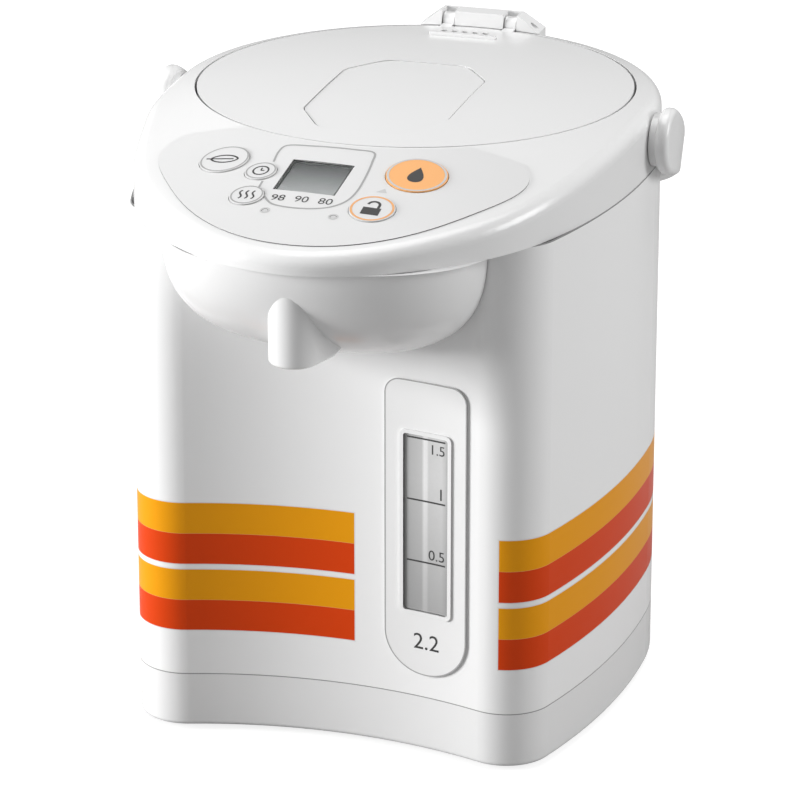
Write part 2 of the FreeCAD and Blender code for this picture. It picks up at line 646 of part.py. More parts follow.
def shell_profile(radius, floor_z, top_radius, corner):
    """Side of a vessel from its floor's centre to its lip: floor, corner arc, wall, neck."""
    bend = corner * (1 - math.sqrt(0.5))
    edges = [
        Part.makeLine(Vector(0, 0, floor_z), Vector(radius - corner, 0, floor_z)),
        arc(Vector(radius - corner, 0, floor_z), Vector(radius - bend, 0, floor_z + bend),
            Vector(radius, 0, floor_z + corner)),
        Part.makeLine(Vector(radius, 0, floor_z + corner), Vector(radius, 0, VESSEL_SHOULDER_Z)),
        Part.makeLine(Vector(radius, 0, VESSEL_SHOULDER_Z), Vector(top_radius, 0, VESSEL_TOP_Z)),
    ]
    return edges


def filled_vessel(radius, floor_z, top_radius, corner):
    edges = shell_profile(radius, floor_z, top_radius, corner)
    edges.append(Part.makeLine(Vector(top_radius, 0, VESSEL_TOP_Z), Vector(0, 0, VESSEL_TOP_Z)))
    edges.append(Part.makeLine(Vector(0, 0, VESSEL_TOP_Z), Vector(0, 0, floor_z)))
    return Part.Face(Part.Wire(edges)).revolve(ORIGIN, UP, 360)


def make_vessel():
    """Inner container and, round it across the vacuum gap, the jacket with an open middle."""
    wall = VESSEL_WALL
    space = filled_vessel(VESSEL_RADIUS, VESSEL_FLOOR_Z, MOUTH_RADIUS, VESSEL_CORNER)
    outside = filled_vessel(VESSEL_RADIUS + wall, VESSEL_FLOOR_Z - wall, MOUTH_RADIUS + wall,
                            VESSEL_CORNER + wall)
    suction = Part.makeCylinder(SUCTION_RADIUS, 10, Vector(PUMP_X, PUMP_Y, VESSEL_FLOOR_Z - 5))
    container = outside.cut(space).cut(suction)
    jacket_radius = VESSEL_RADIUS + wall + VACUUM_GAP
    jacket_floor = VESSEL_FLOOR_Z - wall - 5
    vacuum = filled_vessel(jacket_radius, jacket_floor, MOUTH_RADIUS + wall + SEAT_GAP, VESSEL_CORNER + wall)
    skin = filled_vessel(jacket_radius + wall, jacket_floor - wall, MOUTH_RADIUS + 2 * wall + SEAT_GAP,
                         VESSEL_CORNER + wall)
    skin = skin.cut(vacuum)
    foot = tube(JACKET_BOTTOM_OPENING + wall, JACKET_BOTTOM_OPENING, jacket_floor - wall,
                VESSEL_FLOOR_Z - jacket_floor)
    middle = Part.makeCylinder(JACKET_BOTTOM_OPENING, 20, Vector(0, 0, jacket_floor - 10))
    return container, skin.cut(middle).fuse(foot)


def make_mouth_ring():
    """Silicone packing over the vessel's lip."""
    return tube(MOUTH_RING_OUTER, MOUTH_RING_INNER, VESSEL_TOP_Z, PACKING_HEIGHT)


def crown(lift=0.0, radius=LID_RADIUS):
    """Everything below the lid's crowned top."""
    sphere_radius = (LID_RADIUS ** 2 + LID_CROWN ** 2) / (2 * LID_CROWN)
    centre = Vector(0, 0, LID_SEAM_Z + LID_CROWN + lift - sphere_radius)
    column = Part.makeCylinder(radius, 60, Vector(0, 0, LID_SEAM_Z - 40))
    return column.common(Part.makeSphere(sphere_radius, centre))


def lever_wire(grow=0.0):
    """Rounded barrel outline of the lever plate."""
    half, end = LEVER_HALF_WIDTH + grow, LEVER_END_HALF_WIDTH + grow
    front, rear = LEVER_FRONT_Y - grow, LEVER_REAR_Y + grow
    corners = [(end, front), (half, LEVER_SIDE_FRONT_Y), (half, LEVER_SIDE_REAR_Y), (end, rear)]
    corners += [(-x, y) for x, y in corners[::-1]]
    wire = Part.makePolygon([Vector(x, y, 0) for x, y in corners + corners[:1]])
    plate = Part.Face(wire).extrude(UP)
    upright = [edge for edge in plate.Edges if abs(edge.Vertexes[0].Z - edge.Vertexes[1].Z) > 0.5]
    plate = plate.makeFillet(LEVER_CORNER + grow, upright)
    bottom = [face for face in plate.Faces if face.BoundBox.ZMax < 0.01][0]
    return bottom.OuterWire


def prongs(grow, bottom, top):
    return [box(PRONG_SIZE + 2 * grow, PRONG_SIZE + 2 * grow, top - bottom, side * PRONG_X, PRONG_Y, bottom)
            for side in (-1, 1)]


def lever_pin(radius, length):
    y = LEVER_REAR_Y - LEVER_PIN_INSET
    return Part.makeCylinder(radius, length, Vector(-length / 2, y, LEVER_PIN_Z), Vector(1, 0, 0))


def make_lever():
    """Press plate that follows the crown, with two prongs and its hinge barrel."""
    plate = prism(lever_wire(), LID_SEAM_Z - 20, LID_SEAM_Z + 20)
    plate = plate.common(crown(-LEVER_SINK)).cut(crown(-LEVER_SINK - LEVER_THICKNESS))
    barrel_radius = LEVER_PIN_RADIUS + 1.4
    barrel = lever_pin(barrel_radius, LEVER_BARREL_LENGTH)
    web = box(LEVER_BARREL_LENGTH, 2 * barrel_radius - 1, 4.0, 0, LEVER_REAR_Y - LEVER_PIN_INSET, LEVER_PIN_Z)
    under = crown(-LEVER_SINK - 0.5)
    legs = [leg.common(under) for leg in prongs(0, PRONG_BOTTOM_Z, LID_SEAM_Z + 10)]
    lever = plate.fuse([barrel, web.common(under)] + legs)
    dimple = Part.makeSphere(60, Vector(0, LEVER_FRONT_Y + 20, LID_SEAM_Z + LID_CROWN + 58.2))
    return lever.cut(lever_pin(LEVER_PIN_RADIUS + PIN_GAP, LEVER_PIN_LENGTH)).cut(dimple)


def lid_ears():
    """Two arms that reach from the lid's rear edge back to the hinge pin."""
    ears = []
    for side in (-1, 1):
        start = Vector(side * EAR_X - EAR_WIDTH / 2, HINGE_Y, HINGE_Z)
        eye = Part.makeCylinder(EAR_RADIUS, EAR_WIDTH, start, Vector(1, 0, 0))
        arm = box(EAR_WIDTH, HINGE_Y - 82, 4.4, side * EAR_X, (HINGE_Y + 82) / 2, HINGE_Z - 5.2)
        ears.append(eye.fuse(arm))
    return ears


def vent_mound():
    """Low arch near the lid's rear that carries the steam slots."""
    mound = Part.makeCylinder(VENT_HALF_WIDTH, 12, Vector(0, VENT_Y - 4, LID_SEAM_Z - 6))
    mound = mound.common(box(60, 60, 40, 0, VENT_Y - 4 + 30, LID_SEAM_Z - 10))
    return mound


def make_lid_cover():
    """Crowned top shell with the lever's pocket, the vent opening and the hinge ears."""
    edge = LID_RADIUS - 0.9
    body = crown().common(revolve([(0, LID_COVER_BOTTOM), (edge, LID_COVER_BOTTOM),
                                   (LID_RADIUS, LID_SEAM_Z - 2), (LID_RADIUS, 280), (0, 280)]))
    inside = crown(-LID_WALL, edge - LID_WALL)
    pocket_floor = POCKET_FLOOR_Z - POCKET_FLOOR_THICKNESS
    pocket_outer = prism(lever_wire(LEVER_GAP + 1.6), pocket_floor, LID_SEAM_Z + 20)
    cover = body.cut(inside.cut(pocket_outer))
    cover = cover.cut(prism(lever_wire(LEVER_GAP), POCKET_FLOOR_Z, LID_SEAM_Z + 20))
    cover = cover.fuse([ear.cut(inside) for ear in lid_ears()])
    slots = prongs(0.8, pocket_floor - 1, POCKET_FLOOR_Z + 1)
    vent = vent_mound()
    hinge = Part.makeCylinder(HINGE_PIN_RADIUS + PIN_GAP, 80, Vector(-40, HINGE_Y, HINGE_Z), Vector(1, 0, 0))
    pin_bore = lever_pin(LEVER_PIN_RADIUS + PIN_GAP, LEVER_PIN_LENGTH)
    return cover.cut(slots + [vent, hinge, pin_bore])


def make_steam_cap():
    """Vent insert that stands a little proud of the lid, with its slots."""
    cap = vent_mound().common(crown(VENT_RISE))
    outline = cap.copy()
    outline.scale(1 - SEAT_GAP / VENT_HALF_WIDTH, Vector(0, VENT_Y, LID_SEAM_Z))
    cap = outline.cut(crown(-LID_WALL))
    slots = []
    for index in range(VENT_SLOTS):
        x = (index - (VENT_SLOTS - 1) / 2) * VENT_SLOT_PITCH
        slots.append(box(VENT_SLOT_WIDTH, 3.0, 30, x, VENT_Y, LID_SEAM_Z - 15))
    return cap.cut(slots)


def make_lid_inner():
    """Inner cover: flange under the cover and a tapered plug that hangs into the mouth."""
    flange_top = LID_COVER_BOTTOM
    outer = [(0, PLUG_BOTTOM_Z), (PLUG_BOTTOM_RADIUS, PLUG_BOTTOM_Z), (PLUG_TOP_RADIUS, LID_FLANGE_BOTTOM),
             (LID_FLANGE_RADIUS, LID_FLANGE_BOTTOM), (LID_RADIUS - 0.9, flange_top), (0, flange_top)]
    inner = [(0, PLUG_BOTTOM_Z + PLUG_WALL), (PLUG_BOTTOM_RADIUS - PLUG_WALL, PLUG_BOTTOM_Z + PLUG_WALL),
             (PLUG_TOP_RADIUS - PLUG_WALL, flange_top + 1), (0, flange_top + 1)]
    cover = revolve(outer).cut(revolve(inner))
    steam = [Part.makeCylinder(2.5, 10, Vector(x, 30, PLUG_BOTTOM_Z - 4)) for x in (-9, 0, 9)]
    return cover.cut(steam)


def make_latch():
    """Sliding bolt at the front of the lid, bevelled where it meets the catch."""
    front = -(LID_RADIUS - LATCH_NOSE_GAP)
    bar = box(2 * LATCH_HALF_WIDTH, LATCH_LENGTH, LATCH_THICKNESS, 0, front + LATCH_LENGTH / 2, LATCH_BOTTOM_Z)
    nose = [edge for edge in bar.Edges if edge.BoundBox.YMax < front + 0.1 and edge.BoundBox.ZMin > LATCH_BOTTOM_Z + 1]
    return bar.makeChamfer(1.6, nose)


def latch_slot():
    return box(2 * LATCH_HALF_WIDTH + 2 * RUNNING_GAP, 12, LATCH_THICKNESS + 2 * RUNNING_GAP,
               0, -LID_RADIUS, LATCH_BOTTOM_Z - RUNNING_GAP)


def make_hinge_cover():
    """Tapered block behind the lid that holds the pin, slotted where the ears swing."""
    def section(half, front, rear, z):
        corners = [(-half, front), (half, front), (half, rear), (-half, rear), (-half, front)]
        return Part.makePolygon([Vector(x, y, z) for x, y in corners])

    bottom_z = LID_SEAM_Z - 9
    block = Part.makeLoft([
        section(HINGE_COVER_BOTTOM_HALF, HINGE_COVER_FRONT_Y, HINGE_COVER_REAR_Y, bottom_z),
        section(HINGE_COVER_BOTTOM_HALF, HINGE_COVER_FRONT_Y, HINGE_COVER_REAR_Y, LID_SEAM_Z - 1),
        section(HINGE_COVER_TOP_HALF, HINGE_COVER_FRONT_Y + 1.2, HINGE_COVER_REAR_Y - 3, HINGE_COVER_TOP_Z),
    ], True, True)
    block = block.cut(collar_block(-SEAT_GAP, -SEAT_GAP, RIM_ROUND))
    slots = [box(EAR_WIDTH + 2 * RUNNING_GAP + 0.4, 2 * EAR_RADIUS + 7, 40, side * EAR_X,
                 HINGE_Y - 3.1, LID_SEAM_Z - 10) for side in (-1, 1)]
    pin = Part.makeCylinder(HINGE_PIN_RADIUS + PIN_GAP, 80, Vector(-40, HINGE_Y, HINGE_Z), Vector(1, 0, 0))
    return block.cut(slots + [pin])


def make_hinge_pin():
    start = Vector(-HINGE_PIN_LENGTH / 2, HINGE_Y, HINGE_Z)
    return Part.makeCylinder(HINGE_PIN_RADIUS, HINGE_PIN_LENGTH, start, Vector(1, 0, 0))


def bail_plan(half, reach):
    """Plan of the bail's outside or inside: straight past the pivots, half an ellipse behind."""
    front = -EAR_DISC_RADIUS - 1
    ellipse = Part.Ellipse(Vector(0, reach, 0), Vector(half, 0, 0), ORIGIN)
    curve = Part.ArcOfEllipse(ellipse, ellipse.parameter(Vector(-half, 0, 0)),
                              ellipse.parameter(Vector(half, 0, 0)) + 2 * math.pi)
    if curve.value((curve.FirstParameter + curve.LastParameter) / 2).y < 0:
        curve = Part.ArcOfEllipse(ellipse, ellipse.parameter(Vector(half, 0, 0)),
                                  ellipse.parameter(Vector(-half, 0, 0)))
    edge = curve.toShape()
    start, end = edge.Vertexes[0].Point, edge.Vertexes[-1].Point
    edges = [
        edge,
        Part.makeLine(end, Vector(end.x, front, 0)),
        Part.makeLine(Vector(end.x, front, 0), Vector(start.x, front, 0)),
        Part.makeLine(Vector(start.x, front, 0), start),
    ]
    return Part.Face(Part.Wire(edges))


def bail_side_profile():
    """Teardrop seen from the side: the ear's disc runs smoothly into the bail's height."""
    half = BAIL_HEIGHT / 2
    far = BAIL_INNER_REACH + 3 * BAIL_THICKNESS
    top = Part.BSplineCurve()
    top.interpolate(Points=[Vector(0, 0, EAR_DISC_RADIUS), Vector(0, EAR_TAPER_LENGTH, half)],
                    InitialTangent=Vector(0, 1, 0), FinalTangent=Vector(0, 1, 0))
    bottom = Part.BSplineCurve()
    bottom.interpolate(Points=[Vector(0, EAR_TAPER_LENGTH, -half), Vector(0, 0, -EAR_DISC_RADIUS)],
                       InitialTangent=Vector(0, -1, 0), FinalTangent=Vector(0, -1, 0))
    edges = [
        top.toShape(),
        Part.makeLine(Vector(0, EAR_TAPER_LENGTH, half), Vector(0, far, half)),
        Part.makeLine(Vector(0, far, half), Vector(0, far, -half)),
        Part.makeLine(Vector(0, far, -half), Vector(0, EAR_TAPER_LENGTH, -half)),
        bottom.toShape(),
        arc(Vector(0, 0, -EAR_DISC_RADIUS), Vector(0, -EAR_DISC_RADIUS, 0), Vector(0, 0, EAR_DISC_RADIUS)),
    ]
    width = 2 * (BAIL_INNER_HALF + BAIL_THICKNESS + 1)
    profile = Part.Face(Part.Wire(edges)).extrude(Vector(width, 0, 0))
    profile.translate(Vector(-width / 2, 0, 0))
    return profile


def make_handle():
    """Bail swept round the back, its arms widening to the pivot ears, laid at its stored slope."""
    outer = bail_plan(BAIL_INNER_HALF + BAIL_THICKNESS, BAIL_INNER_REACH + BAIL_THICKNESS)
    inner = bail_plan(BAIL_INNER_HALF, BAIL_INNER_REACH)
    band = outer.cut(inner).extrude(Vector(0, 0, 3 * EAR_DISC_RADIUS))
    band.translate(Vector(0, 0, -1.5 * EAR_DISC_RADIUS))
    band = band.common(bail_side_profile())
    rims = [edge for edge in band.Edges if edge.BoundBox.YLength > BAIL_ROUND]
    band = band.makeFillet(BAIL_ROUND, rims)
    ear_inner = BODY_RADIUS + RUNNING_GAP
    pin_end = BAIL_INNER_HALF + BAIL_THICKNESS - HANDLE_PIN_CAP
    bosses = []
    bores = []
    for side in (-1, 1):
        start = Vector(side * ear_inner, 0, 0)
        boss_length = BAIL_INNER_HALF + 1 - ear_inner
        bosses.append(Part.makeCylinder(EAR_DISC_RADIUS - BAIL_ROUND, boss_length, start, Vector(side, 0, 0)))
        bores.append(Part.makeCylinder(HANDLE_PIN_RADIUS + PIN_GAP, pin_end - ear_inner, start, Vector(side, 0, 0)))
    bail = band.fuse(bosses).cut(bores)
    bail.rotate(ORIGIN, Vector(1, 0, 0), -BAIL_STORED_ANGLE)
    bail.translate(Vector(0, 0, PIVOT_Z))
    return bail


def make_handle_pins():
    pins = []
    reach = BAIL_INNER_HALF + BAIL_THICKNESS - HANDLE_PIN_CAP - RUNNING_GAP
    for side in (-1, 1):
        start = Vector(side * HANDLE_PIN_INNER_X, 0, PIVOT_Z)
        pin = Part.makeCylinder(HANDLE_PIN_RADIUS, reach - HANDLE_PIN_INNER_X, start, Vector(side, 0, 0))
        head = Part.makeCylinder(HANDLE_PIN_RADIUS + 2, 2.0, start, Vector(side, 0, 0))
        pins.append(pin.fuse(head))
    return pins


def gauge_outline(half, bottom, top, corner):
    """Upright window shape with a semicircular or rounded bottom, in the XZ plane."""
    plate = Part.makeBox(2 * half, 80, top - bottom, Vector(GAUGE_X - half, FRONT_MID_Y - 40, bottom))
    upright = [edge for edge in plate.Edges if edge.BoundBox.YLength > 70]
    return plate.makeFillet(corner, upright)


def front_skin(outside, inside):
    """Layer that follows the concave front between two offsets from the casing's face."""
    return prism(body_outline(-outside), 0, CASING_TOP).cut(prism(body_outline(-inside), 0, CASING_TOP))


def make_gauge_panel():
    """Moulded surround on the casing's front with the window opening and its raised rim."""
    half, low, high = GAUGE_WINDOW_HALF_WIDTH, GAUGE_WINDOW_BOTTOM_Z, GAUGE_WINDOW_TOP_Z
    front = box(2 * BODY_RADIUS, 60, 400, 0, FRONT_MID_Y - 10, -10)
    plate = gauge_outline(GAUGE_HALF_WIDTH, GAUGE_BOTTOM_Z, GAUGE_TOP_Z, GAUGE_HALF_WIDTH - 1)
    plate = plate.common(front_skin(GAUGE_THICKNESS, SEAT_GAP)).common(front)
    rim = gauge_outline(half + 1.6, low - 1.6, high + 1.6, 2.6)
    rim = rim.common(front_skin(GAUGE_THICKNESS + 0.8, SEAT_GAP)).common(front)
    return plate.fuse(rim).cut(gauge_outline(half, low, high, 1.2))


def make_gauge_window():
    """Clear window that sits in the surround."""
    half, low, high = GAUGE_WINDOW_HALF_WIDTH, GAUGE_WINDOW_BOTTOM_Z, GAUGE_WINDOW_TOP_Z
    front = box(2 * BODY_RADIUS, 60, 400, 0, FRONT_MID_Y - 10, -10)
    pane = gauge_outline(half - SEAT_GAP, low + SEAT_GAP, high - SEAT_GAP, 1.0)
    return pane.common(front_skin(GAUGE_THICKNESS - 0.2, -CASING_WALL + 0.2)).common(front)


def bent_pipe(points, bend, outer, inner):
    """Pipe of straight runs joined by tangent arcs, swept as a ring section."""
    edges = []
    start = points[0]
    for before, corner, after in zip(points, points[1:], points[2:]):
        to_before = (before - corner).normalize()
        to_after = (after - corner).normalize()
        half_angle = to_before.getAngle(to_after) / 2
        cut_back = bend / math.tan(half_angle)
        enter = corner + to_before * cut_back
        leave = corner + to_after * cut_back
        bisector = (to_before + to_after).normalize()
        middle = corner + bisector * (bend / math.sin(half_angle) - bend)
        edges.append(Part.makeLine(start, enter))
        edges.append(arc(enter, middle, leave))
        start = leave
    edges.append(Part.makeLine(start, points[-1]))
    path = Part.Wire(edges)
    direction = (points[1] - points[0]).normalize()
    solids = []
    for radius in (outer, inner):
        ring = Part.Wire(Part.makeCircle(radius, points[0], direction))
        solids.append(path.makePipeShell([ring], True, False))
    return solids[0].cut(solids[1])


def make_pump():
    """Pump housing with suction and outlet, the wet impeller and the two magnet rotors."""
    floor, top = PUMP_BOTTOM_Z, PUMP_BOTTOM_Z + PUMP_HEIGHT
    shell = Part.makeCylinder(PUMP_RADIUS, PUMP_HEIGHT, Vector(PUMP_X, PUMP_Y, floor))
    room = Part.makeCylinder(PUMP_RADIUS - PUMP_WALL, PUMP_HEIGHT - 2 * PUMP_WALL,
                             Vector(PUMP_X, PUMP_Y, floor + PUMP_WALL))
    neck_top = VESSEL_FLOOR_Z - VESSEL_WALL - SEAT_GAP
    neck = Part.makeCylinder(SUCTION_RADIUS + 2, neck_top - top, Vector(PUMP_X, PUMP_Y, top))
    bore = Part.makeCylinder(SUCTION_RADIUS, 40, Vector(PUMP_X, PUMP_Y, floor + PUMP_WALL))
    outlet_z = floor + PUMP_HEIGHT / 2
    start = Vector(PUMP_X, PUMP_Y - PUMP_RADIUS + 4, outlet_z)
    outlet = Part.makeCylinder(PIPE_RADIUS, 10, start, Vector(0, -1, 0))
    outlet_bore = Part.makeCylinder(PIPE_RADIUS - PIPE_WALL, 20, start, Vector(0, -1, 0))
    housing = shell.fuse([neck, outlet]).cut([room, bore, outlet_bore])
    disc_z = floor + PUMP_WALL + RUNNING_GAP + 0.3
    hub_height = IMPELLER_DISC + BLADE_HEIGHT
    disc = Part.makeCylinder(IMPELLER_RADIUS, IMPELLER_DISC, Vector(PUMP_X, PUMP_Y, disc_z))
    hub = Part.makeCylinder(IMPELLER_HUB_RADIUS, hub_height, Vector(PUMP_X, PUMP_Y, disc_z))
    blades = []
    for index in range(IMPELLER_BLADES):
        reach = IMPELLER_RADIUS - 1
        blade = Part.makeBox(reach, BLADE_THICKNESS, BLADE_HEIGHT,
                             Vector(PUMP_X, PUMP_Y - BLADE_THICKNESS / 2, disc_z + IMPELLER_DISC))
        blade.rotate(Vector(PUMP_X, PUMP_Y, 0), UP, index * 360 / IMPELLER_BLADES)
        blades.append(blade)
    impeller = disc.fuse([hub] + blades)
    magnet_z = floor - RUNNING_GAP - 0.3 - MAGNET_THICKNESS
    magnet = Part.makeCylinder(MAGNET_RADIUS, MAGNET_THICKNESS, Vector(PUMP_X, PUMP_Y, magnet_z))
    magnet = magnet.cut(Part.makeCylinder(SHAFT_RADIUS + PIN_GAP, 20, Vector(PUMP_X, PUMP_Y, magnet_z - 10)))
    return housing, impeller, magnet, magnet_z


def make_motor(magnet_z):
    """Motor can on its foot, with the shaft that carries the drive magnet."""
    can = Part.makeCylinder(MOTOR_RADIUS, MOTOR_HEIGHT, Vector(PUMP_X, PUMP_Y, MOTOR_BOTTOM_Z))
    can = can.makeFillet(1.5, [edge for edge in can.Edges if edge.Closed])
    top = MOTOR_BOTTOM_Z + MOTOR_HEIGHT
    boss = Part.makeCylinder(4, magnet_z - top - RUNNING_GAP, Vector(PUMP_X, PUMP_Y, top))
    shaft = Part.makeCylinder(SHAFT_RADIUS, magnet_z + MAGNET_THICKNESS - top, Vector(PUMP_X, PUMP_Y, top))
    return can.fuse([boss, shaft])


def make_pump_bracket():
    """Four posts and a ring that hold the pump housing above the motor."""
    ring = tube(PUMP_RADIUS + 4, MAGNET_RADIUS + 3, PUMP_BOTTOM_Z - 2, 2, PUMP_X, PUMP_Y)
    floor = BASE_FLOOR_Z + BASE_FLOOR_THICKNESS
    posts = []
    for index in range(4):
        angle = math.radians(45 + 90 * index)
        x = PUMP_X + PUMP_RADIUS * math.cos(angle)
        y = PUMP_Y + PUMP_RADIUS * math.sin(angle)
        posts.append(Part.makeCylinder(3, PUMP_BOTTOM_Z - 1 - floor, Vector(x, y, floor)))
    cradle = tube(MOTOR_RADIUS + 2, 5, floor, MOTOR_BOTTOM_Z - floor, PUMP_X, PUMP_Y)
    return ring.fuse(posts), cradle


def make_inlet():
    """Recessed mains socket at the back with its two contact pins."""
    rear = math.sqrt(BODY_RADIUS ** 2 - INLET_HALF_WIDTH ** 2)
    block = box(2 * INLET_HALF_WIDTH, INLET_DEPTH, INLET_HEIGHT, 0, rear - INLET_DEPTH / 2 + 0.4, INLET_Z)
    recess = box(2 * INLET_HALF_WIDTH - 5, INLET_RECESS + 5, INLET_HEIGHT - 6, 0,
                 rear + 0.4 - INLET_RECESS + (INLET_RECESS + 5) / 2, INLET_Z + 3)
    flange = box(2 * INLET_HALF_WIDTH + 8, 2.0, INLET_HEIGHT + 8, 0, rear - INLET_DEPTH + 1.4, INLET_Z - 4)
    pins = []
    for side in (-1, 1):
        start = Vector(side * PIN_SPACING / 2, rear + 0.4 - INLET_RECESS, INLET_Z + INLET_HEIGHT / 2)
        pins.append(Part.makeCylinder(PIN_RADIUS, INLET_RECESS - 2, start, Vector(0, 1, 0)))
    return block.fuse(flange).cut(recess), pins


def screw_places():
    places = []
    for angle in SCREW_ANGLES:
        turn = math.radians(angle)
        places.append((SCREW_CIRCLE * math.cos(turn), SCREW_CIRCLE * math.sin(turn)))
    return places


def make_screws():
    """Base screws, heads under the floor, shanks up into the support's posts."""
    screws = []
    for x, y in screw_places():
        head = Part.makeCylinder(SCREW_HEAD_RADIUS, SCREW_HEAD, Vector(x, y, BASE_FLOOR_Z - SCREW_HEAD))
        shank = Part.makeCylinder(SCREW_SHANK_RADIUS, SCREW_LENGTH, Vector(x, y, BASE_FLOOR_Z))
        screws.append(head.fuse(shank))
    return screws


def make_vessel_support():
    """Ring under the vacuum jacket on four posts that take the base screws."""
    jacket_bottom = VESSEL_FLOOR_Z - 2 * VESSEL_WALL - 5
    ring = tube(SUPPORT_OUTER, SUPPORT_INNER, jacket_bottom - SUPPORT_THICKNESS, SUPPORT_THICKNESS)
    floor = BASE_FLOOR_Z + BASE_FLOOR_THICKNESS
    posts = []
    holes = []
    for x, y in screw_places():
        posts.append(Part.makeCylinder(POST_RADIUS, jacket_bottom - 1 - floor, Vector(x, y, floor)))
        holes.append(Part.makeCylinder(SCREW_SHANK_RADIUS + SEAT_GAP, SCREW_LENGTH + 2, Vector(x, y, floor - 1)))
    return ring.fuse(posts).cut(holes)


def make_heater():
    """Flat ring heater pressed on the vessel's floor."""
    top = VESSEL_FLOOR_Z - VESSEL_WALL
    return tube(HEATER_OUTER_RADIUS, HEATER_INNER_RADIUS, top - HEATER_THICKNESS, HEATER_THICKNESS)


def make_thermostat():
    top = VESSEL_FLOOR_Z - VESSEL_WALL
    can = Part.makeCylinder(6, 4, Vector(20, 6, top - 4))
    return can.fuse(box(20, 7, 1.2, 20, 6, top - 4))


def make_riser():
    """Pipe from the pump's outlet round to the foot of the gauge tube."""
    level = PUMP_BOTTOM_Z + PUMP_HEIGHT / 2
    start_y = PUMP_Y - PUMP_RADIUS - 6 - SEAT_GAP
    points = [Vector(PUMP_X, start_y, level), Vector(PUMP_X, start_y - 33, level),
              Vector(GAUGE_X, GAUGE_TUBE_Y, level), Vector(GAUGE_X, GAUGE_TUBE_Y, GAUGE_TUBE_BOTTOM_Z)]
    return bent_pipe(points, 10, PIPE_RADIUS, PIPE_RADIUS - PIPE_WALL)


def make_outlet_pipe():
    """Pipe from the top of the gauge tube over the casing's edge into the nozzle."""
    points = [Vector(GAUGE_X, GAUGE_TUBE_Y, GAUGE_TUBE_TOP_Z), Vector(GAUGE_X, GAUGE_TUBE_Y, OUTLET_HIGH_Z),
              Vector(0, NOZZLE_Y, OUTLET_LOW_Z), Vector(0, NOZZLE_Y, NOZZLE_TOP_Z)]
    return bent_pipe(points, 6, OUTLET_RADIUS, OUTLET_RADIUS - 1)


def make_gauge_tube():
    return tube(GAUGE_TUBE_RADIUS, GAUGE_TUBE_RADIUS - GAUGE_TUBE_WALL, GAUGE_TUBE_BOTTOM_Z,
                GAUGE_TUBE_TOP_Z - GAUGE_TUBE_BOTTOM_Z, GAUGE_X, GAUGE_TUBE_Y)


def board_top(y):
    return top_z(0, BOARD_Y) - BOARD_DROP - TOP_SLOPE * (BOARD_Y - y)


def make_control_board():
    """Circuit board under the panel, hung from the collar on three posts, with its switches."""
    board = slanted(box(BOARD_WIDTH, BOARD_DEPTH, BOARD_THICKNESS, 0, 0, -BOARD_THICKNESS), 0, BOARD_Y,
                    board_top(BOARD_Y))
    under = top_cone(-COLLAR_WALL - SEAT_GAP)
    posts = [Part.makeCylinder(2.2, 20, Vector(x, y, board_top(y) - 0.5)).common(under) for x, y in BOARD_POSTS]
    board = board.fuse(posts)
    switches = []
    for x, y, radius in BUTTONS.values():
        button_bottom = top_z(x, y) - BUTTON_REACH / math.cos(math.atan(TOP_SLOPE))
        height = button_bottom - BUTTON_TRAVEL - 2 * RUNNING_GAP - board_top(y)
        switches.append(slanted(box(SWITCH_SIZE, SWITCH_SIZE, height, 0, 0, 0), 0, y, board_top(y)))
        switches[-1].translate(Vector(x, 0, 0))
    return board, switches


def make_lamps():
    lamps = []
    for x, y in LAMPS:
        lamps.append(slanted_cylinder(x, y, LAMP_RADIUS, 2, LAMP_LENGTH).common(top_cone(PANEL_THICKNESS)))
    return lamps


def make_power_board():
    """Supply board on standoffs with its transformer and capacitor."""
    width, depth = POWER_BOARD_SIZE
    floor = BASE_FLOOR_Z + BASE_FLOOR_THICKNESS
    board = box(width, depth, BOARD_THICKNESS, POWER_BOARD_X, POWER_BOARD_Y, floor + 5)
    feet = [box(5, 5, 5, POWER_BOARD_X + side * (width / 2 - 4), POWER_BOARD_Y + end * (depth / 2 - 4), floor)
            for side in (-1, 1) for end in (-1, 1)]
    top = floor + 5 + BOARD_THICKNESS
    transformer = box(18, 15, 13, POWER_BOARD_X - 12, POWER_BOARD_Y, top)
    capacitor = Part.makeCylinder(5, 14, Vector(POWER_BOARD_X + 10, POWER_BOARD_Y, top))
    return board.fuse(feet + [transformer, capacitor])


def make_gasket():
    """Lid gasket under the inner cover's flange."""
    bottom = LEDGE_TOP - SEAT_GAP + RUNNING_GAP
    return tube(MOUTH_RING_OUTER - 0.7, PLUG_TOP_RADIUS + RUNNING_GAP, bottom, LID_FLANGE_BOTTOM - bottom)


def make_lever_springs():
    """Torsion springs on the lever's pin, one beside each end of the barrel."""
    springs = []
    y = LEVER_REAR_Y - LEVER_PIN_INSET
    for side in (-1, 1):
        start = Vector(side * (LEVER_BARREL_LENGTH / 2 + 2 * RUNNING_GAP), y, LEVER_PIN_Z)
        coil = Part.makeCylinder(LEVER_PIN_RADIUS + 1.1, 4, start, Vector(side, 0, 0))
        springs.append(coil.cut(Part.makeCylinder(LEVER_PIN_RADIUS + PIN_GAP, 4, start, Vector(side, 0, 0))))
    return springs


def make_spill_valve():
    """Weighted plunger that closes the steam path if the pot tips over."""
    floor = PLUG_BOTTOM_Z + PLUG_WALL
    guide = tube(9, 7.3, floor, 12, 0, 46)
    plunger = Part.makeCylinder(7, 5, Vector(0, 46, floor))
    tip = Part.makeCone(6, 2, 4, Vector(0, 46, floor + 5))
    return guide, plunger.fuse(tip)


os.makedirs("parts", exist_ok=True)

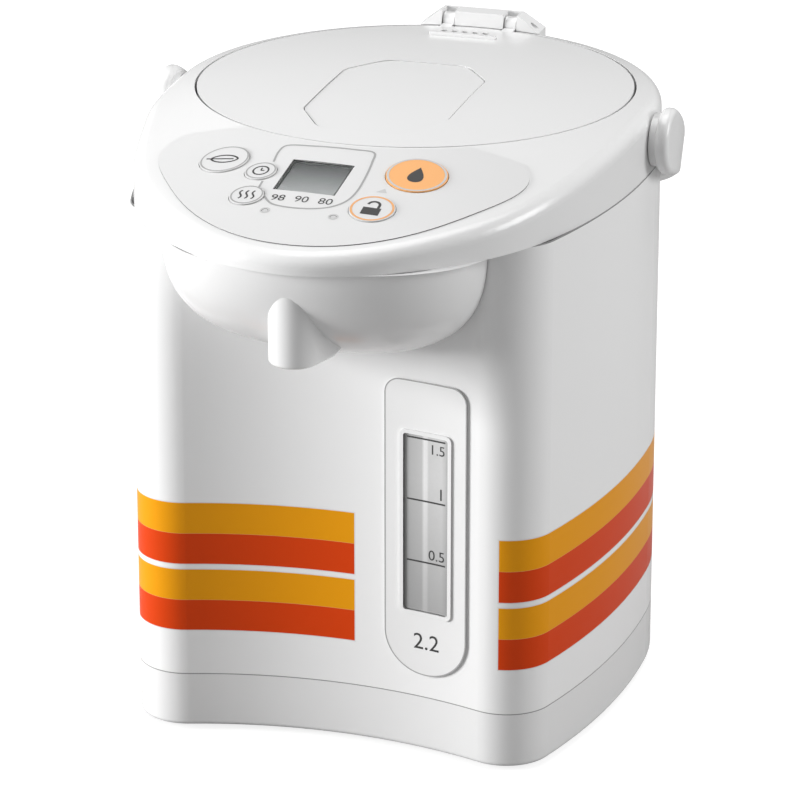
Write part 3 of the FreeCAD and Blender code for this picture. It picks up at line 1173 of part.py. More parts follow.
save("base_pan", make_base())
save("outer_casing", make_casing())
save("collar", make_collar())
save("panel_overlay", make_panel())
lcd_window, lcd_module = make_display()
save("lcd_window", lcd_window)
save("lcd_module", lcd_module)
for button_name, (button_x, button_y, button_radius) in BUTTONS.items():
    save(button_name, make_button(button_x, button_y, button_radius))
save("spout_housing", make_spout_housing())
save("spout_nozzle", make_nozzle())
vessel_inner, vessel_jacket = make_vessel()
save("inner_container", vessel_inner)
save("vacuum_jacket", vessel_jacket)
save("mouth_packing", make_mouth_ring())
save("lid_cover", make_lid_cover().cut(latch_slot()))
save("lid_inner_cover", make_lid_inner())
save("lid_lever", make_lever())
save("lever_pin", lever_pin(LEVER_PIN_RADIUS, LEVER_PIN_LENGTH))
save("lid_latch", make_latch())
save("steam_cap", make_steam_cap())
save("hinge_cover", make_hinge_cover())
save("hinge_pin", make_hinge_pin())
save("carry_handle", make_handle())
save("handle_pins", *make_handle_pins())
save("gauge_panel", make_gauge_panel())
save("gauge_window", make_gauge_window())
pump_housing, pump_impeller, drive_magnet, drive_magnet_z = make_pump()
save("pump_housing", pump_housing)
save("pump_impeller", pump_impeller)
save("drive_magnet", drive_magnet)
save("pump_motor", make_motor(drive_magnet_z))
pump_bracket, motor_cradle = make_pump_bracket()
save("pump_bracket", pump_bracket)
save("motor_cradle", motor_cradle)
power_inlet, inlet_pins = make_inlet()
save("power_inlet", power_inlet)
save("inlet_pins", *inlet_pins)
foot_ring, foot_pads = make_foot()
save("foot_ring", foot_ring)
save("foot_pads", *foot_pads)
save("base_screws", *make_screws())
save("vessel_support", make_vessel_support())
save("heater_ring", make_heater())
save("thermostat", make_thermostat())
save("riser_pipe", make_riser())
save("gauge_tube", make_gauge_tube())
save("outlet_pipe", make_outlet_pipe())
control_board, key_switches = make_control_board()
save("control_board", control_board)
save("key_switches", *key_switches)
save("indicator_lamps", *make_lamps())
save("power_board", make_power_board())
save("lid_gasket", make_gasket())
save("lever_springs", *make_lever_springs())
save("lid_catch", catch_block())
valve_guide, spill_valve = make_spill_valve()
save("valve_guide", valve_guide)
save("spill_valve", spill_valve)
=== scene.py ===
"""Looks of an electric thermo pot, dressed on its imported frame.

Sizes of the pot's pieces are millimetres round the vessel's axis, as in the part's own source.
They are turned into the row frame, in metres, where a mesh is made. The studio is in metres.
"""
import logging
import math
from collections.abc import Callable, Sequence
from dataclasses import dataclass, field
from enum import Enum, IntEnum
from typing import Union

import bpy
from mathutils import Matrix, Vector
from mathutils.geometry import tessellate_polygon


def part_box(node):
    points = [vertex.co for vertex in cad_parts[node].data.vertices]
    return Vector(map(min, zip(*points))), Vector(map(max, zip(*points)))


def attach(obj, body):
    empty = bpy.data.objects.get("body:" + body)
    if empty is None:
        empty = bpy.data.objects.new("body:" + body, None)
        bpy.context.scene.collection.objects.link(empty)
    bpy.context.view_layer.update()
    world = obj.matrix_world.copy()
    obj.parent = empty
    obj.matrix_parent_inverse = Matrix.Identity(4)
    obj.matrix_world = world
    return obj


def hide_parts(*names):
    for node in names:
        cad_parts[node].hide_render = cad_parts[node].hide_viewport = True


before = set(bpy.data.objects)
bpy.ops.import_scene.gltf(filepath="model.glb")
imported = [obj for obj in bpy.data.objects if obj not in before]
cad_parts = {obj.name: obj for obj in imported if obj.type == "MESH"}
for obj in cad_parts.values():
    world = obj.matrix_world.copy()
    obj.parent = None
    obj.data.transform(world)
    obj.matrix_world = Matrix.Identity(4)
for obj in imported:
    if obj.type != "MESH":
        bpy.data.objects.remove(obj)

log = logging.getLogger("thermo_pot")

MM = 0.001
TINY = 1e-6
SHARP_ANGLE = 35.0
ON_CASING = 0.05
EVEN_DETAIL = 1.0
CLOUD_DETAIL = 3.0

Triple = tuple[float, float, float]
Colour = Triple
Point = tuple[float, float]
Faces = list[tuple[int, ...]]
Mesh = tuple[list[Vector], Faces]
Placer = Callable[[float, float], Vector]
Owner = Union[bpy.types.Material, bpy.types.World]

EVEN: Triple = (1.0, 1.0, 1.0)
WHITE_LIGHT = (1.0, 1.0, 1.0, 1.0)


def axis_offset() -> float:
    """Distance in millimetres of the vessel's axis behind the origin."""
    low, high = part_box("inner_container")
    return (low.y + high.y) / 2 / MM


AXIS_Y = axis_offset()


def heights_of(node: str) -> tuple[float, float]:
    """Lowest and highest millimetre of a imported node."""
    low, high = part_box(node)
    return low.z / MM, high.z / MM


def row(x: float, y: float, z: float) -> Vector:
    """Turn a point round the vessel's axis into the row frame.

    Args:
        x: Millimetres to the right.
        y: Millimetres behind the axis.
        z: Millimetres above the table.

    Returns:
        The point in metres.
    """
    return Vector((x * MM, (y + AXIS_Y) * MM, z * MM))


def half_turn(steps: int) -> list[float]:
    """Angles over half a turn, with both ends."""
    return [math.pi * step / steps for step in range(steps + 1)]


def full_turn(steps: int) -> list[float]:
    """Angles once round, without the end; steps are those of half a turn."""
    return [math.pi * step / steps for step in range(2 * steps)]


# Shader maths


class Wire:
    """A value socket whose arithmetic adds Math nodes."""

    def __init__(self, graph: "Graph", socket: bpy.types.NodeSocket) -> None:
        """Wrap one output socket of a graph."""
        self.graph = graph
        self.socket = socket

    def maths(self, operation: str, first: "Term", second: "Term" = 0.0, clamp: bool = False) -> "Wire":
        """Add one Math node.

        Args:
            operation: The node's operation.
            first: First value or link.
            second: Second value or link.
            clamp: Keep the result between 0 and 1.

        Returns:
            The node's result.
        """
        node = self.graph.add("ShaderNodeMath", {"operation": operation, "use_clamp": clamp},
                              {0: first, 1: second})
        return Wire(self.graph, node.outputs[0])

    def __add__(self, other: "Term") -> "Wire":
        """Sum."""
        return self.maths("ADD", self, other)

    __radd__ = __add__

    def __sub__(self, other: "Term") -> "Wire":
        """Difference."""
        return self.maths("SUBTRACT", self, other)

    def __rsub__(self, other: "Term") -> "Wire":
        """Difference, taken from a number."""
        return self.maths("SUBTRACT", other, self)

    def __mul__(self, other: "Term") -> "Wire":
        """Product."""
        return self.maths("MULTIPLY", self, other)

    __rmul__ = __mul__

    def __truediv__(self, other: "Term") -> "Wire":
        """Quotient."""
        return self.maths("DIVIDE", self, other)

    def above(self, edge: float, soft: float = 0.15) -> "Wire":
        """Mask that is 1 above an edge, over a soft step."""
        return self.maths("ADD", (self - edge) / soft, 0.5, clamp=True)

    def between(self, low: float, high: float, soft: float = 0.15) -> "Wire":
        """Mask that is 1 between two edges."""
        return self.above(low, soft) * (1 - self.above(high, soft))


Term = Union[Wire, float, int]


class Graph:
    """Node tree of one material or sky, with its shader."""

    def __init__(self, owner: Owner) -> None:
        """Turn on the owner's nodes and find its shader.

        Args:
            owner: The material or sky.
        """
        self.owner = owner
        self.owner.use_nodes = True
        self.tree = owner.node_tree
        self.shader = self.tree.nodes.get("Principled BSDF") or self.tree.nodes["Background"]

    def feed(self, socket: bpy.types.NodeSocket, value: object) -> None:
        """Link a wire to a socket, or set the socket's own value.

        Args:
            socket: The input to feed.
            value: A wire, or a plain value.
        """
        if isinstance(value, Wire):
            self.tree.links.new(value.socket, socket)
        else:
            socket.default_value = value

    def add(self, kind: str, settings: dict[str, object] | None = None,
            inputs: dict[object, object] | None = None) -> bpy.types.Node:
        """Add any node.

        Args:
            kind: The node's type.
            settings: Its properties, or the stops of a ramp, which are set first.
            inputs: Values or wires by socket name or number.

        Returns:
            The node.
        """
        node = self.tree.nodes.new(kind)
        for key, value in (settings or {}).items():
            if key == "stops":
                ramp = node.color_ramp.elements
                while len(ramp) < len(value):
                    ramp.new(1.0)
                for element, (position, colour) in zip(ramp, value):
                    element.position = position
                    element.color = (*colour, 1.0)
            else:
                setattr(node, key, value)
        for key, value in (inputs or {}).items():
            self.feed(node.inputs[key], value)
        return node

    def output(self, node: bpy.types.Node, name: object = 0) -> Wire:
        """Wrap a node's output."""
        return Wire(self, node.outputs[name])

    def place(self) -> Wire:
        """Object coordinates, which are the row frame's at rest."""
        return self.output(self.add("ShaderNodeTexCoord"), "Object")

    def axes(self) -> tuple[Wire, Wire, Wire]:
        """Take the surface's place apart.

        Returns:
            Its x, y and z in millimetres round the vessel's axis.
        """
        split = self.add("ShaderNodeSeparateXYZ", None, {0: self.place()})
        return (self.output(split, 0) / MM, self.output(split, 1) / MM - AXIS_Y,
                self.output(split, 2) / MM)

    def noise(self, scale: float, detail: float = 2.0, stretch: Triple = EVEN) -> Wire:
        """Noise over the surface, about 0.5 on average.

        Args:
            scale: Cells per metre.
            detail: Octaves.
            stretch: Factors along x, y and z.

        Returns:
            The noise value.
        """
        mapped = self.add("ShaderNodeMapping", None, {"Vector": self.place(), "Scale": stretch})
        node = self.add("ShaderNodeTexNoise", None,
                        {"Vector": self.output(mapped), "Scale": scale, "Detail": detail})
        return self.output(node)

    def blend(self, factor: Term, first: object, second: object) -> Wire:
        """Mix two colours.

        Args:
            factor: Share of the second, from 0 to 1.
            first: A colour, or a wire that carries one.
            second: The other colour or wire.

        Returns:
            The mixed colour.
        """
        node = self.add("ShaderNodeMix", {"data_type": "RGBA"}, {0: factor})
        for number, colour in ((6, first), (7, second)):
            self.feed(node.inputs[number], colour if isinstance(colour, Wire) else (*colour, 1.0))
        return self.output(node, 2)

    def bump(self, height: Wire, depth: float) -> Wire:
        """Normal of a height, where 1 stands depth metres high."""
        return self.output(self.add("ShaderNodeBump", None,
                                    {"Height": height, "Distance": depth, "Strength": 1.0}))

    def finish(self, **sockets: object) -> Owner:
        """Set the shader's sockets.

        Args:
            sockets: Values or wires by socket name, with _ for a blank.

        Returns:
            The material or sky.
        """
        for name, value in sockets.items():
            self.feed(self.shader.inputs[name.replace("_", " ")], value)
        return self.owner


def shade(value: int) -> Colour:
    """Turn a screen grey into a linear colour.

    Args:
        value: The grey, between 0 and 255.

    Returns:
        The linear colour.
    """
    part = value / 255
    linear = part / 12.92 if part < 0.04 else ((part + 0.055) / 1.055) ** 2.4
    return (linear, linear, linear)


def dimmed(colour: Colour, share: float) -> Colour:
    """Colour at a share of its strength."""
    return tuple(part * share for part in colour)


# Finishes


class Gloss(Enum):
    """Surface grades of the mouldings, as base roughness."""

    POLISHED = 0.2
    SATIN = 0.36
    MATT = 0.55


@dataclass(frozen=True)
class Finish:
    """A named surface finish; noise scales are cells per metre and depths are metres."""

    name: str

    def graph(self) -> Graph:
        """Node tree of a new material with the finish's name."""
        return Graph(bpy.data.materials.new(self.name))

    def material(self) -> bpy.types.Material:
        """Build the material, each finish in its own way."""
        raise NotImplementedError


@dataclass(frozen=True)
class Moulding(Finish):
    """Moulded plastic with a fine texture, faint flow marks and slight variation."""

    colour: Colour
    gloss: Gloss = Gloss.POLISHED
    texture: float = 2600.0
    depth: float = 0.000004
    texture_gloss: float = 0.04
    flow_scale: float = 14.0
    flow_dim: float = 0.965
    flow_gloss: float = 0.05

    def material(self) -> bpy.types.Material:
        """Build the material.

        Returns:
            The plastic.
        """
        graph = self.graph()
        flow = graph.noise(self.flow_scale, CLOUD_DETAIL)
        fine = graph.noise(self.texture)
        base = self.gloss.value - self.texture_gloss
        return graph.finish(Base_Color=graph.blend(flow, self.colour, dimmed(self.colour, self.flow_dim)),
                            Roughness=base + flow * self.flow_gloss + fine * self.texture_gloss,
                            Normal=graph.bump(fine, self.depth))


@dataclass(frozen=True)
class Band:
    """One printed stripe between two heights."""

    bottom: float
    top: float
    colour: Colour


@dataclass(frozen=True)
class PrintedSteel(Finish):
    """White enamelled sheet with horizontal stripes that leave part of the front bare.

    The stripes are printed in pairs, each pair with a pale outline.
    """

    ground: Colour
    bands: tuple[Band, ...]
    seams: tuple[float, float]
    bare_left: float = 6.9
    bare_right: float = 71.6
    front_limit: float = -50.0
    outline: float = 0.5
    outline_ink: Colour = shade(226)
    seam_width: float = 0.4
    seam_share: float = 0.75
    seam_shadow: Colour = shade(70)
    wave_scale: float = 9.0
    ground_dim: float = 0.98
    ink_dim: float = 0.94
    texture: float = 3400.0
    texture_height: float = 0.3
    depth: float = 0.000012
    roughness: float = 0.2
    wave_gloss: float = 0.05
    texture_gloss: float = 0.02
    ink_gloss: float = 0.05
    specular: float = 0.14

    def covered(self, graph: Graph, low: float, high: float, grow: float) -> Wire:
        """Mask of a printed band.

        Args:
            graph: The material's graph.
            low: Lower edge of the band.
            high: Its upper edge.
            grow: Width by which it is grown on every side.

        Returns:
            The mask, 1 where ink lies.
        """
        x, y, z = graph.axes()
        bare = x.between(self.bare_left + grow, self.bare_right - grow) * (1 - y.above(self.front_limit))
        return z.between(low - grow, high + grow) * (1 - bare)

    def material(self) -> bpy.types.Material:
        """Build the material.

        Returns:
            The enamelled sheet with its stripes and the shadow at its two seams.
        """
        graph = self.graph()
        wave = graph.noise(self.wave_scale)
        fine = graph.noise(self.texture)
        colour = graph.blend(wave, self.ground, dimmed(self.ground, self.ground_dim))
        for lower, upper in zip(self.bands[::2], self.bands[1::2]):
            edge = self.covered(graph, lower.bottom, upper.top, self.outline)
            colour = graph.blend(edge, colour, self.outline_ink)
        masks = [self.covered(graph, band.bottom, band.top, 0.0) for band in self.bands]
        for band, mask in zip(self.bands, masks):
            tone = graph.blend(wave, band.colour, dimmed(band.colour, self.ink_dim))
            colour = graph.blend(mask, colour, tone)
        ink = sum(masks[1:], masks[0])
        z = graph.axes()[2]
        low, high = self.seams
        seam = z.above(high - self.seam_width) + (1 - z.above(low + self.seam_width))
        roughness = self.roughness + wave * self.wave_gloss + fine * self.texture_gloss
        return graph.finish(Base_Color=graph.blend(seam * self.seam_share, colour, self.seam_shadow),
                            Roughness=roughness + ink * self.ink_gloss, Specular_IOR_Level=self.specular,
                            Normal=graph.bump(fine * self.texture_height + ink, self.depth))


@dataclass(frozen=True)
class FilmWithPaintedEdgeShade(Finish):
    """Printed film with painted shade on its cut edges, the faces that do not face upwards, round its pale
    face.
    """

    face: Colour
    # Colour of the painted shade on the film's cut edges.
    edge: Colour
    flat_from: float = 0.8
    flat_soft: float = 0.2
    cloud_scale: float = 20.0
    cloud_dim: float = 0.975
    texture: float = 5200.0
    texture_gloss: float = 0.08
    depth: float = 0.000006
    roughness: float = 0.34

    def material(self) -> bpy.types.Material:
        """Build the material.

        Returns:
            The film, pale where it faces upwards, with painted shade where it does not.
        """
        graph = self.graph()
        normal = graph.add("ShaderNodeSeparateXYZ", None,
                           {0: graph.output(graph.add("ShaderNodeNewGeometry"), "Normal")})
        # Faces that do not face upwards take the edge colour as painted shade.
        flat = graph.output(normal, 2).above(self.flat_from, self.flat_soft)
        cloud = graph.noise(self.cloud_scale, CLOUD_DETAIL)
        fine = graph.noise(self.texture, EVEN_DETAIL)
        face = graph.blend(cloud, self.face, dimmed(self.face, self.cloud_dim))
        return graph.finish(Base_Color=graph.blend(flat, self.edge, face),
                            Roughness=self.roughness + fine * self.texture_gloss,
                            Normal=graph.bump(fine, self.depth))


@dataclass(frozen=True)
class BrushedMetal(Finish):
    """Metal with fine lines along one direction."""

    colour: Colour
    roughness: float = 0.3
    stretch: Triple = (1.0, 1.0, 40.0)
    lines_scale: float = 160.0
    lines_detail: float = 4.0
    lines_gloss: float = 0.14
    polish: float = 0.06
    depth: float = 0.000006
    cloud_scale: float = 16.0
    cloud_dim: float = 0.88

    def material(self) -> bpy.types.Material:
        """Build the material.

        Returns:
            The metal.
        """
        graph = self.graph()
        lines = graph.noise(self.lines_scale, self.lines_detail, self.stretch)
        cloud = graph.noise(self.cloud_scale)
        return graph.finish(Base_Color=graph.blend(cloud, self.colour, dimmed(self.colour, self.cloud_dim)),
                            Roughness=self.roughness - self.polish + lines * self.lines_gloss,
                            Metallic=1.0, Normal=graph.bump(lines, self.depth))


@dataclass(frozen=True)
class ClearPane(Finish):
    """Clear plastic or glass."""

    tint: Colour
    refraction: float = 1.45
    haze_scale: float = 900.0
    haze_dim: float = 0.97
    haze_gloss: float = 0.03
    roughness: float = 0.02

    def material(self) -> bpy.types.Material:
        """Build the material.

        Returns:
            The clear material.
        """
        graph = self.graph()
        haze = graph.noise(self.haze_scale, EVEN_DETAIL)
        return graph.finish(Base_Color=graph.blend(haze, self.tint, dimmed(self.tint, self.haze_dim)),
                            Roughness=self.roughness + haze * self.haze_gloss, IOR=self.refraction,
                            Transmission_Weight=1.0)


@dataclass(frozen=True)
class Window:
    """Upright rectangle on the front."""

    left: float
    right: float
    bottom: float
    top: float

    def rounded(self, grow: float, corner: float) -> "RoundedSlot":
        """The rectangle grown on every side, with rounded corners."""
        return RoundedSlot(self.left - grow, self.right + grow, self.bottom - grow, self.top + grow,
                           corner, corner)


@dataclass(frozen=True)
class GaugePane(Finish):
    """Gauge window with the tube behind it painted on: painted shade towards its sides and a painted
    highlight down its middle.
    """

    window: Window
    # Grey stops across the pane: painted shade of the tube towards the sides and a painted highlight down
    # its middle.
    painted_tube_shading: tuple[tuple[float, Colour], ...] = (
        (0.0, shade(150)), (0.12, shade(182)), (0.40, shade(196)), (0.455, shade(236)), (0.52, shade(232)),
        (0.56, shade(208)), (0.86, shade(212)), (0.93, shade(196)), (1.0, shade(170)))
    low_tone: Colour = shade(128)
    low_share: float = 0.72
    rise_from: float = 0.3
    rise_soft: float = 0.9
    haze_scale: float = 700.0
    haze_tone: Colour = shade(150)
    haze_share: float = 0.12
    haze_gloss: float = 0.06
    roughness: float = 0.08
    coat: float = 0.6
    coat_roughness: float = 0.03

    def material(self) -> bpy.types.Material:
        """Build the material.

        Returns:
            The pane, darker towards its lower end.
        """
        graph = self.graph()
        x, _, z = graph.axes()
        across = (x - self.window.left) / (self.window.right - self.window.left)
        up = (z - self.window.bottom) / (self.window.top - self.window.bottom)
        # Painted shade and painted highlight of the tube behind, across the pane's width.
        painted_tube_shading = graph.output(graph.add("ShaderNodeValToRGB", {"stops": self.painted_tube_shading}, {0: across}))
        low = graph.blend(self.low_share, painted_tube_shading, self.low_tone)
        colour = graph.blend(up.above(self.rise_from, self.rise_soft), low, painted_tube_shading)
        haze = graph.noise(self.haze_scale, CLOUD_DETAIL)
        return graph.finish(Base_Color=graph.blend(haze * self.haze_share, colour, self.haze_tone),
                            Roughness=self.roughness + haze * self.haze_gloss,
                            Coat_Weight=self.coat, Coat_Roughness=self.coat_roughness)


@dataclass(frozen=True)
class Ink(Finish):
    """Screen print."""

    colour: Colour
    texture: float = 4200.0
    texture_dim: float = 0.85
    texture_gloss: float = 0.1
    roughness: float = 0.42

    def material(self) -> bpy.types.Material:
        """Build the material.

        Returns:
            The ink.
        """
        graph = self.graph()
        fine = graph.noise(self.texture)
        return graph.finish(Base_Color=graph.blend(fine, self.colour, dimmed(self.colour, self.texture_dim)),
                            Roughness=self.roughness + fine * self.texture_gloss)


@dataclass(frozen=True)
class DisplayGlass(Finish):
    """Unlit liquid crystal behind its window, with a painted shadow under the bezel's upper edge."""

    light: Colour
    shadow_and_grid_tone: Colour
    rear: float
    front: float
    shadow_shift: float = 3.0
    grid_scale: float = 1500.0
    grid_share: float = 0.1
    grid_gloss: float = 0.05
    roughness: float = 0.18

    def material(self) -> bpy.types.Material:
        """Build the material.

        Returns:
            The display.
        """
        graph = self.graph()
        _, y, _ = graph.axes()
        # Painted shadow of the bezel's upper edge, towards the display's rear.
        shadow = y.above((self.rear + self.front) / 2 + self.shadow_shift, self.rear - self.front)
        grid = graph.noise(self.grid_scale, EVEN_DETAIL)
        colour = graph.blend(shadow, self.light, self.shadow_and_grid_tone)
        return graph.finish(Base_Color=graph.blend(grid * self.grid_share, colour, self.shadow_and_grid_tone),
                            Roughness=self.roughness + grid * self.grid_gloss)


@dataclass(frozen=True)
class CircuitBoard(Finish):
    """Green laminate with paler tracks."""

    laminate: Colour = (0.02, 0.13, 0.05)
    track: Colour = (0.05, 0.25, 0.1)
    track_scale: float = 220.0
    track_detail: float = 0.0
    track_stretch: Triple = (1.0, 6.0, 1.0)
    track_edge: float = 0.56
    track_soft: float = 0.02
    track_depth: float = 0.00003
    mottle: Colour = (0.01, 0.08, 0.03)
    mottle_scale: float = 1200.0
    mottle_share: float = 0.3
    mottle_gloss: float = 0.1
    roughness: float = 0.3

    def material(self) -> bpy.types.Material:
        """Build the material.

        Returns:
            The board.
        """
        graph = self.graph()
        cells = graph.noise(self.track_scale, self.track_detail, self.track_stretch)
        tracks = cells.above(self.track_edge, self.track_soft)
        fine = graph.noise(self.mottle_scale)
        colour = graph.blend(tracks, self.laminate, self.track)
        return graph.finish(Base_Color=graph.blend(fine * self.mottle_share, colour, self.mottle),
                            Roughness=self.roughness + fine * self.mottle_gloss,
                            Normal=graph.bump(tracks, self.track_depth))


YELLOW: Colour = (0.84, 0.34, 0.004)
ORANGE: Colour = (0.70, 0.055, 0.003)
WHITE = Moulding("white_plastic", shade(236))
WHITE_KEY = Moulding("white_key", shade(222), Gloss.SATIN, texture=5000.0, depth=0.000006)
ORANGE_KEY = Moulding("orange_key", (0.93, 0.46, 0.17), Gloss.SATIN, texture=5000.0, depth=0.000006)
GREY = Moulding("grey_plastic", shade(186), Gloss.MATT)
BLACK = Moulding("black_plastic", shade(40), Gloss.MATT)
RUBBER = Moulding("rubber", shade(52), Gloss.MATT, texture=1400.0, depth=0.00002)
SILICONE = Moulding("silicone", shade(205), Gloss.MATT, texture=1800.0, depth=0.00001)
FERRITE = Moulding("magnet", shade(60), Gloss.MATT, texture=900.0, depth=0.00003)
STEEL = BrushedMetal("steel", (0.62, 0.62, 0.61))
PLATED = BrushedMetal("motor_metal", (0.5, 0.5, 0.52), roughness=0.35, stretch=EVEN)
BRASS = BrushedMetal("brass", (0.78, 0.6, 0.3), roughness=0.25)
DARK_INK = Ink("dark_ink", shade(58))
GREY_INK = Ink("grey_ink", shade(168))
ORANGE_INK = Ink("orange_ink", (0.86, 0.42, 0.16))
PALE_INK = Ink("pale_ink", shade(205))

_made: dict[str, bpy.types.Material] = {}


def material_of(finish: Finish) -> bpy.types.Material:
    """Find a finish's material, which is built once.

    Args:
        finish: The finish.

    Returns:
        Its material.
    """
    if finish.name not in _made:
        _made[finish.name] = finish.material()
    return _made[finish.name]


# Meshes laid on the pot's skins


@dataclass(frozen=True)
class SlopeSkin:
    """The collar's conical slope, a little above the surface."""

    lift: float
    seam_z: float = 254.0
    slope: float = 0.25
    opening: float = 92.4

    def place(self, x: float, y: float) -> Vector:
        """Point of the slope over x, y."""
        return row(x, y, self.seam_z + self.lift - self.slope * (math.hypot(x, y) - self.opening))


@dataclass(frozen=True)
class FrontSkin:
    """The casing's concave front, a little outside the surface."""

    lift: float
    middle: float = -106.3
    radius: float = 196.65

    def face_y(self, x: float) -> float:
        """Millimetres of the skin behind the axis, beside x."""
        return self.middle - self.radius + math.sqrt((self.radius - self.lift) ** 2 - x * x)

    def place(self, x: float, z: float) -> Vector:
        """Point of the front beside x and z."""
        return row(x, self.face_y(x), z)


def new_piece(name: str, points: Sequence[Vector], faces: Sequence[Sequence[int]], body: str,
              finish: Finish, smooth: bool = False) -> bpy.types.Object:
    """Make one mesh piece that rides on a body.

    Args:
        name: The piece's name.
        points: Its vertices in the row frame.
        faces: Vertex numbers of each face.
        body: The body that carries it.
        finish: What it is made of.
        smooth: Shade it smoothly, with its sharp edges kept.

    Returns:
        The object.
    """
    mesh = bpy.data.meshes.new(name)
    mesh.from_pydata([tuple(point) for point in points], [], [tuple(face) for face in faces])
    mesh.materials.append(material_of(finish))
    mesh.update()
    if smooth:
        mesh.shade_smooth()
        mesh.set_sharp_from_angle(angle=math.radians(SHARP_ANGLE))
    piece = bpy.data.objects.new(name, mesh)
    bpy.context.scene.collection.objects.link(piece)
    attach(piece, body)
    log.info("made %s on %s", name, body)
    return piece


def stack_rows(rows: Sequence[Sequence[Vector]], closed: bool) -> Mesh:
    """Join rows of points into faces.

    Args:
        rows: Rows with equally many points.
        closed: Join each row's end to its start.

    Returns:
        The points and the faces.
    """
    count = len(rows[0])
    points = [point for line in rows for point in line]
    faces = [(high * count + index, high * count + (index + 1) % count,
              (high + 1) * count + (index + 1) % count, (high + 1) * count + index)
             for high in range(len(rows) - 1) for index in range(count if closed else count - 1)]
    return points, faces


def join(*meshes: Mesh) -> Mesh:
    """Put several meshes into one.

    Args:
        meshes: Points and faces of each.

    Returns:
        All points, and the faces with their new vertex numbers.
    """
    points: list[Vector] = []
    faces: Faces = []
    for more_points, more_faces in meshes:
        faces += [tuple(number + len(points) for number in face) for face in more_faces]
        points += more_points
    return points, faces


def smooth_path(points: Sequence[Point], steps: int = 6) -> list[Point]:
    """Run a Catmull-Rom curve through a few points.

    Args:
        points: The points.
        steps: Divisions between neighbours.

    Returns:
        The finer points.
    """
    last = len(points) - 1
    fine: list[Point] = []
    for index in range(last):
        near = [points[max(0, min(last, index + offset))] for offset in (-1, 0, 1, 2)]
        for step in range(steps):
            t = step / steps
            weights = (-0.5 * t + t * t - 0.5 * t ** 3, 1 - 2.5 * t * t + 1.5 * t ** 3,
                       0.5 * t + 2 * t * t - 1.5 * t ** 3, -0.5 * t * t + 0.5 * t ** 3)
            fine.append((sum(w * p[0] for w, p in zip(weights, near)),
                         sum(w * p[1] for w, p in zip(weights, near))))
    return fine + [points[-1]]


@dataclass
class Print:
    """Flat marks in a skin's own two directions, gathered into one mesh."""

    place: Placer
    points: list[Vector] = field(default_factory=list)
    faces: Faces = field(default_factory=list)
    ring_steps: int = 36
    capital_share: float = 0.73
    letter_steps: int = 4

    def ribbon(self, path: Sequence[Point], width: float, closed: bool = False) -> None:
        """Lay a line of even width.

        Args:
            path: Its middle.
            width: Its width.
            closed: Join the end to the start.
        """
        count = len(path)
        start = len(self.points)
        for index, (x, y) in enumerate(path):
            before = path[(index - 1) % count] if closed or index else path[0]
            after = path[(index + 1) % count] if closed or index < count - 1 else path[-1]
            dx, dy = after[0] - before[0], after[1] - before[1]
            size = math.hypot(dx, dy) or 1.0
            nx, ny = -dy / size * width / 2, dx / size * width / 2
            self.points.append(self.place(x + nx, y + ny))
            self.points.append(self.place(x - nx, y - ny))
        for index in range(count if closed else count - 1):
            a = start + 2 * index
            b = start + 2 * ((index + 1) % count)
            self.faces.append((a, a + 1, b + 1, b))

    def ring(self, x: float, y: float, radius: float, width: float) -> None:
        """Lay a ring round a point."""
        self.ribbon([(x + radius * math.cos(turn), y + radius * math.sin(turn))
                     for turn in full_turn(self.ring_steps)], width, closed=True)

    def patch(self, outline: Sequence[Point]) -> None:
        """Fill a small outline.

        Args:
            outline: Its corners in order.
        """
        start = len(self.points)
        self.points += [self.place(x, y) for x, y in outline]
        loops = [[Vector((x, y, 0)) for x, y in outline]]
        for a, b, c in tessellate_polygon(loops):
            ax, ay = outline[a]
            bx, by = outline[b]
            cx, cy = outline[c]
            turned = (bx - ax) * (cy - ay) - (by - ay) * (cx - ax) < 0
            corners = (a, c, b) if turned else (a, b, c)
            self.faces.append(tuple(start + corner for corner in corners))

    def text(self, words: str, x: float, y: float, size: float, align: str = "CENTER") -> None:
        """Lay figures with their baseline on a point.

        Args:
            words: The figures.
            x: Place along the first direction.
            y: Place of the baseline along the second.
            size: Height of the figures.
            align: LEFT, CENTER or RIGHT.
        """
        curve = bpy.data.curves.new("figures", "FONT")
        curve.body = words
        curve.size = size / self.capital_share
        curve.align_x = align
        curve.resolution_u = self.letter_steps
        carrier = bpy.data.objects.new("figures", curve)
        bpy.context.scene.collection.objects.link(carrier)
        bpy.context.view_layer.update()
        ready = carrier.evaluated_get(bpy.context.evaluated_depsgraph_get())
        mesh = bpy.data.meshes.new_from_object(ready)
        start = len(self.points)
        self.points += [self.place(x + vertex.co.x, y + vertex.co.y) for vertex in mesh.vertices]
        self.faces += [tuple(start + number for number in face.vertices) for face in mesh.polygons]
        bpy.data.objects.remove(carrier)
        bpy.data.meshes.remove(mesh)
        bpy.data.curves.remove(curve)

    def make(self, name: str, body: str, finish: Finish) -> bpy.types.Object:
        """Turn the marks into one piece."""
        return new_piece(name, self.points, self.faces, body, finish)


class Sign(Enum):
    """Plain signs on the keys."""

    DROP = "drop"
    OPEN_LOCK = "open_lock"
    LEAF = "leaf"
    CLOCK = "clock"
    WAVES = "waves"


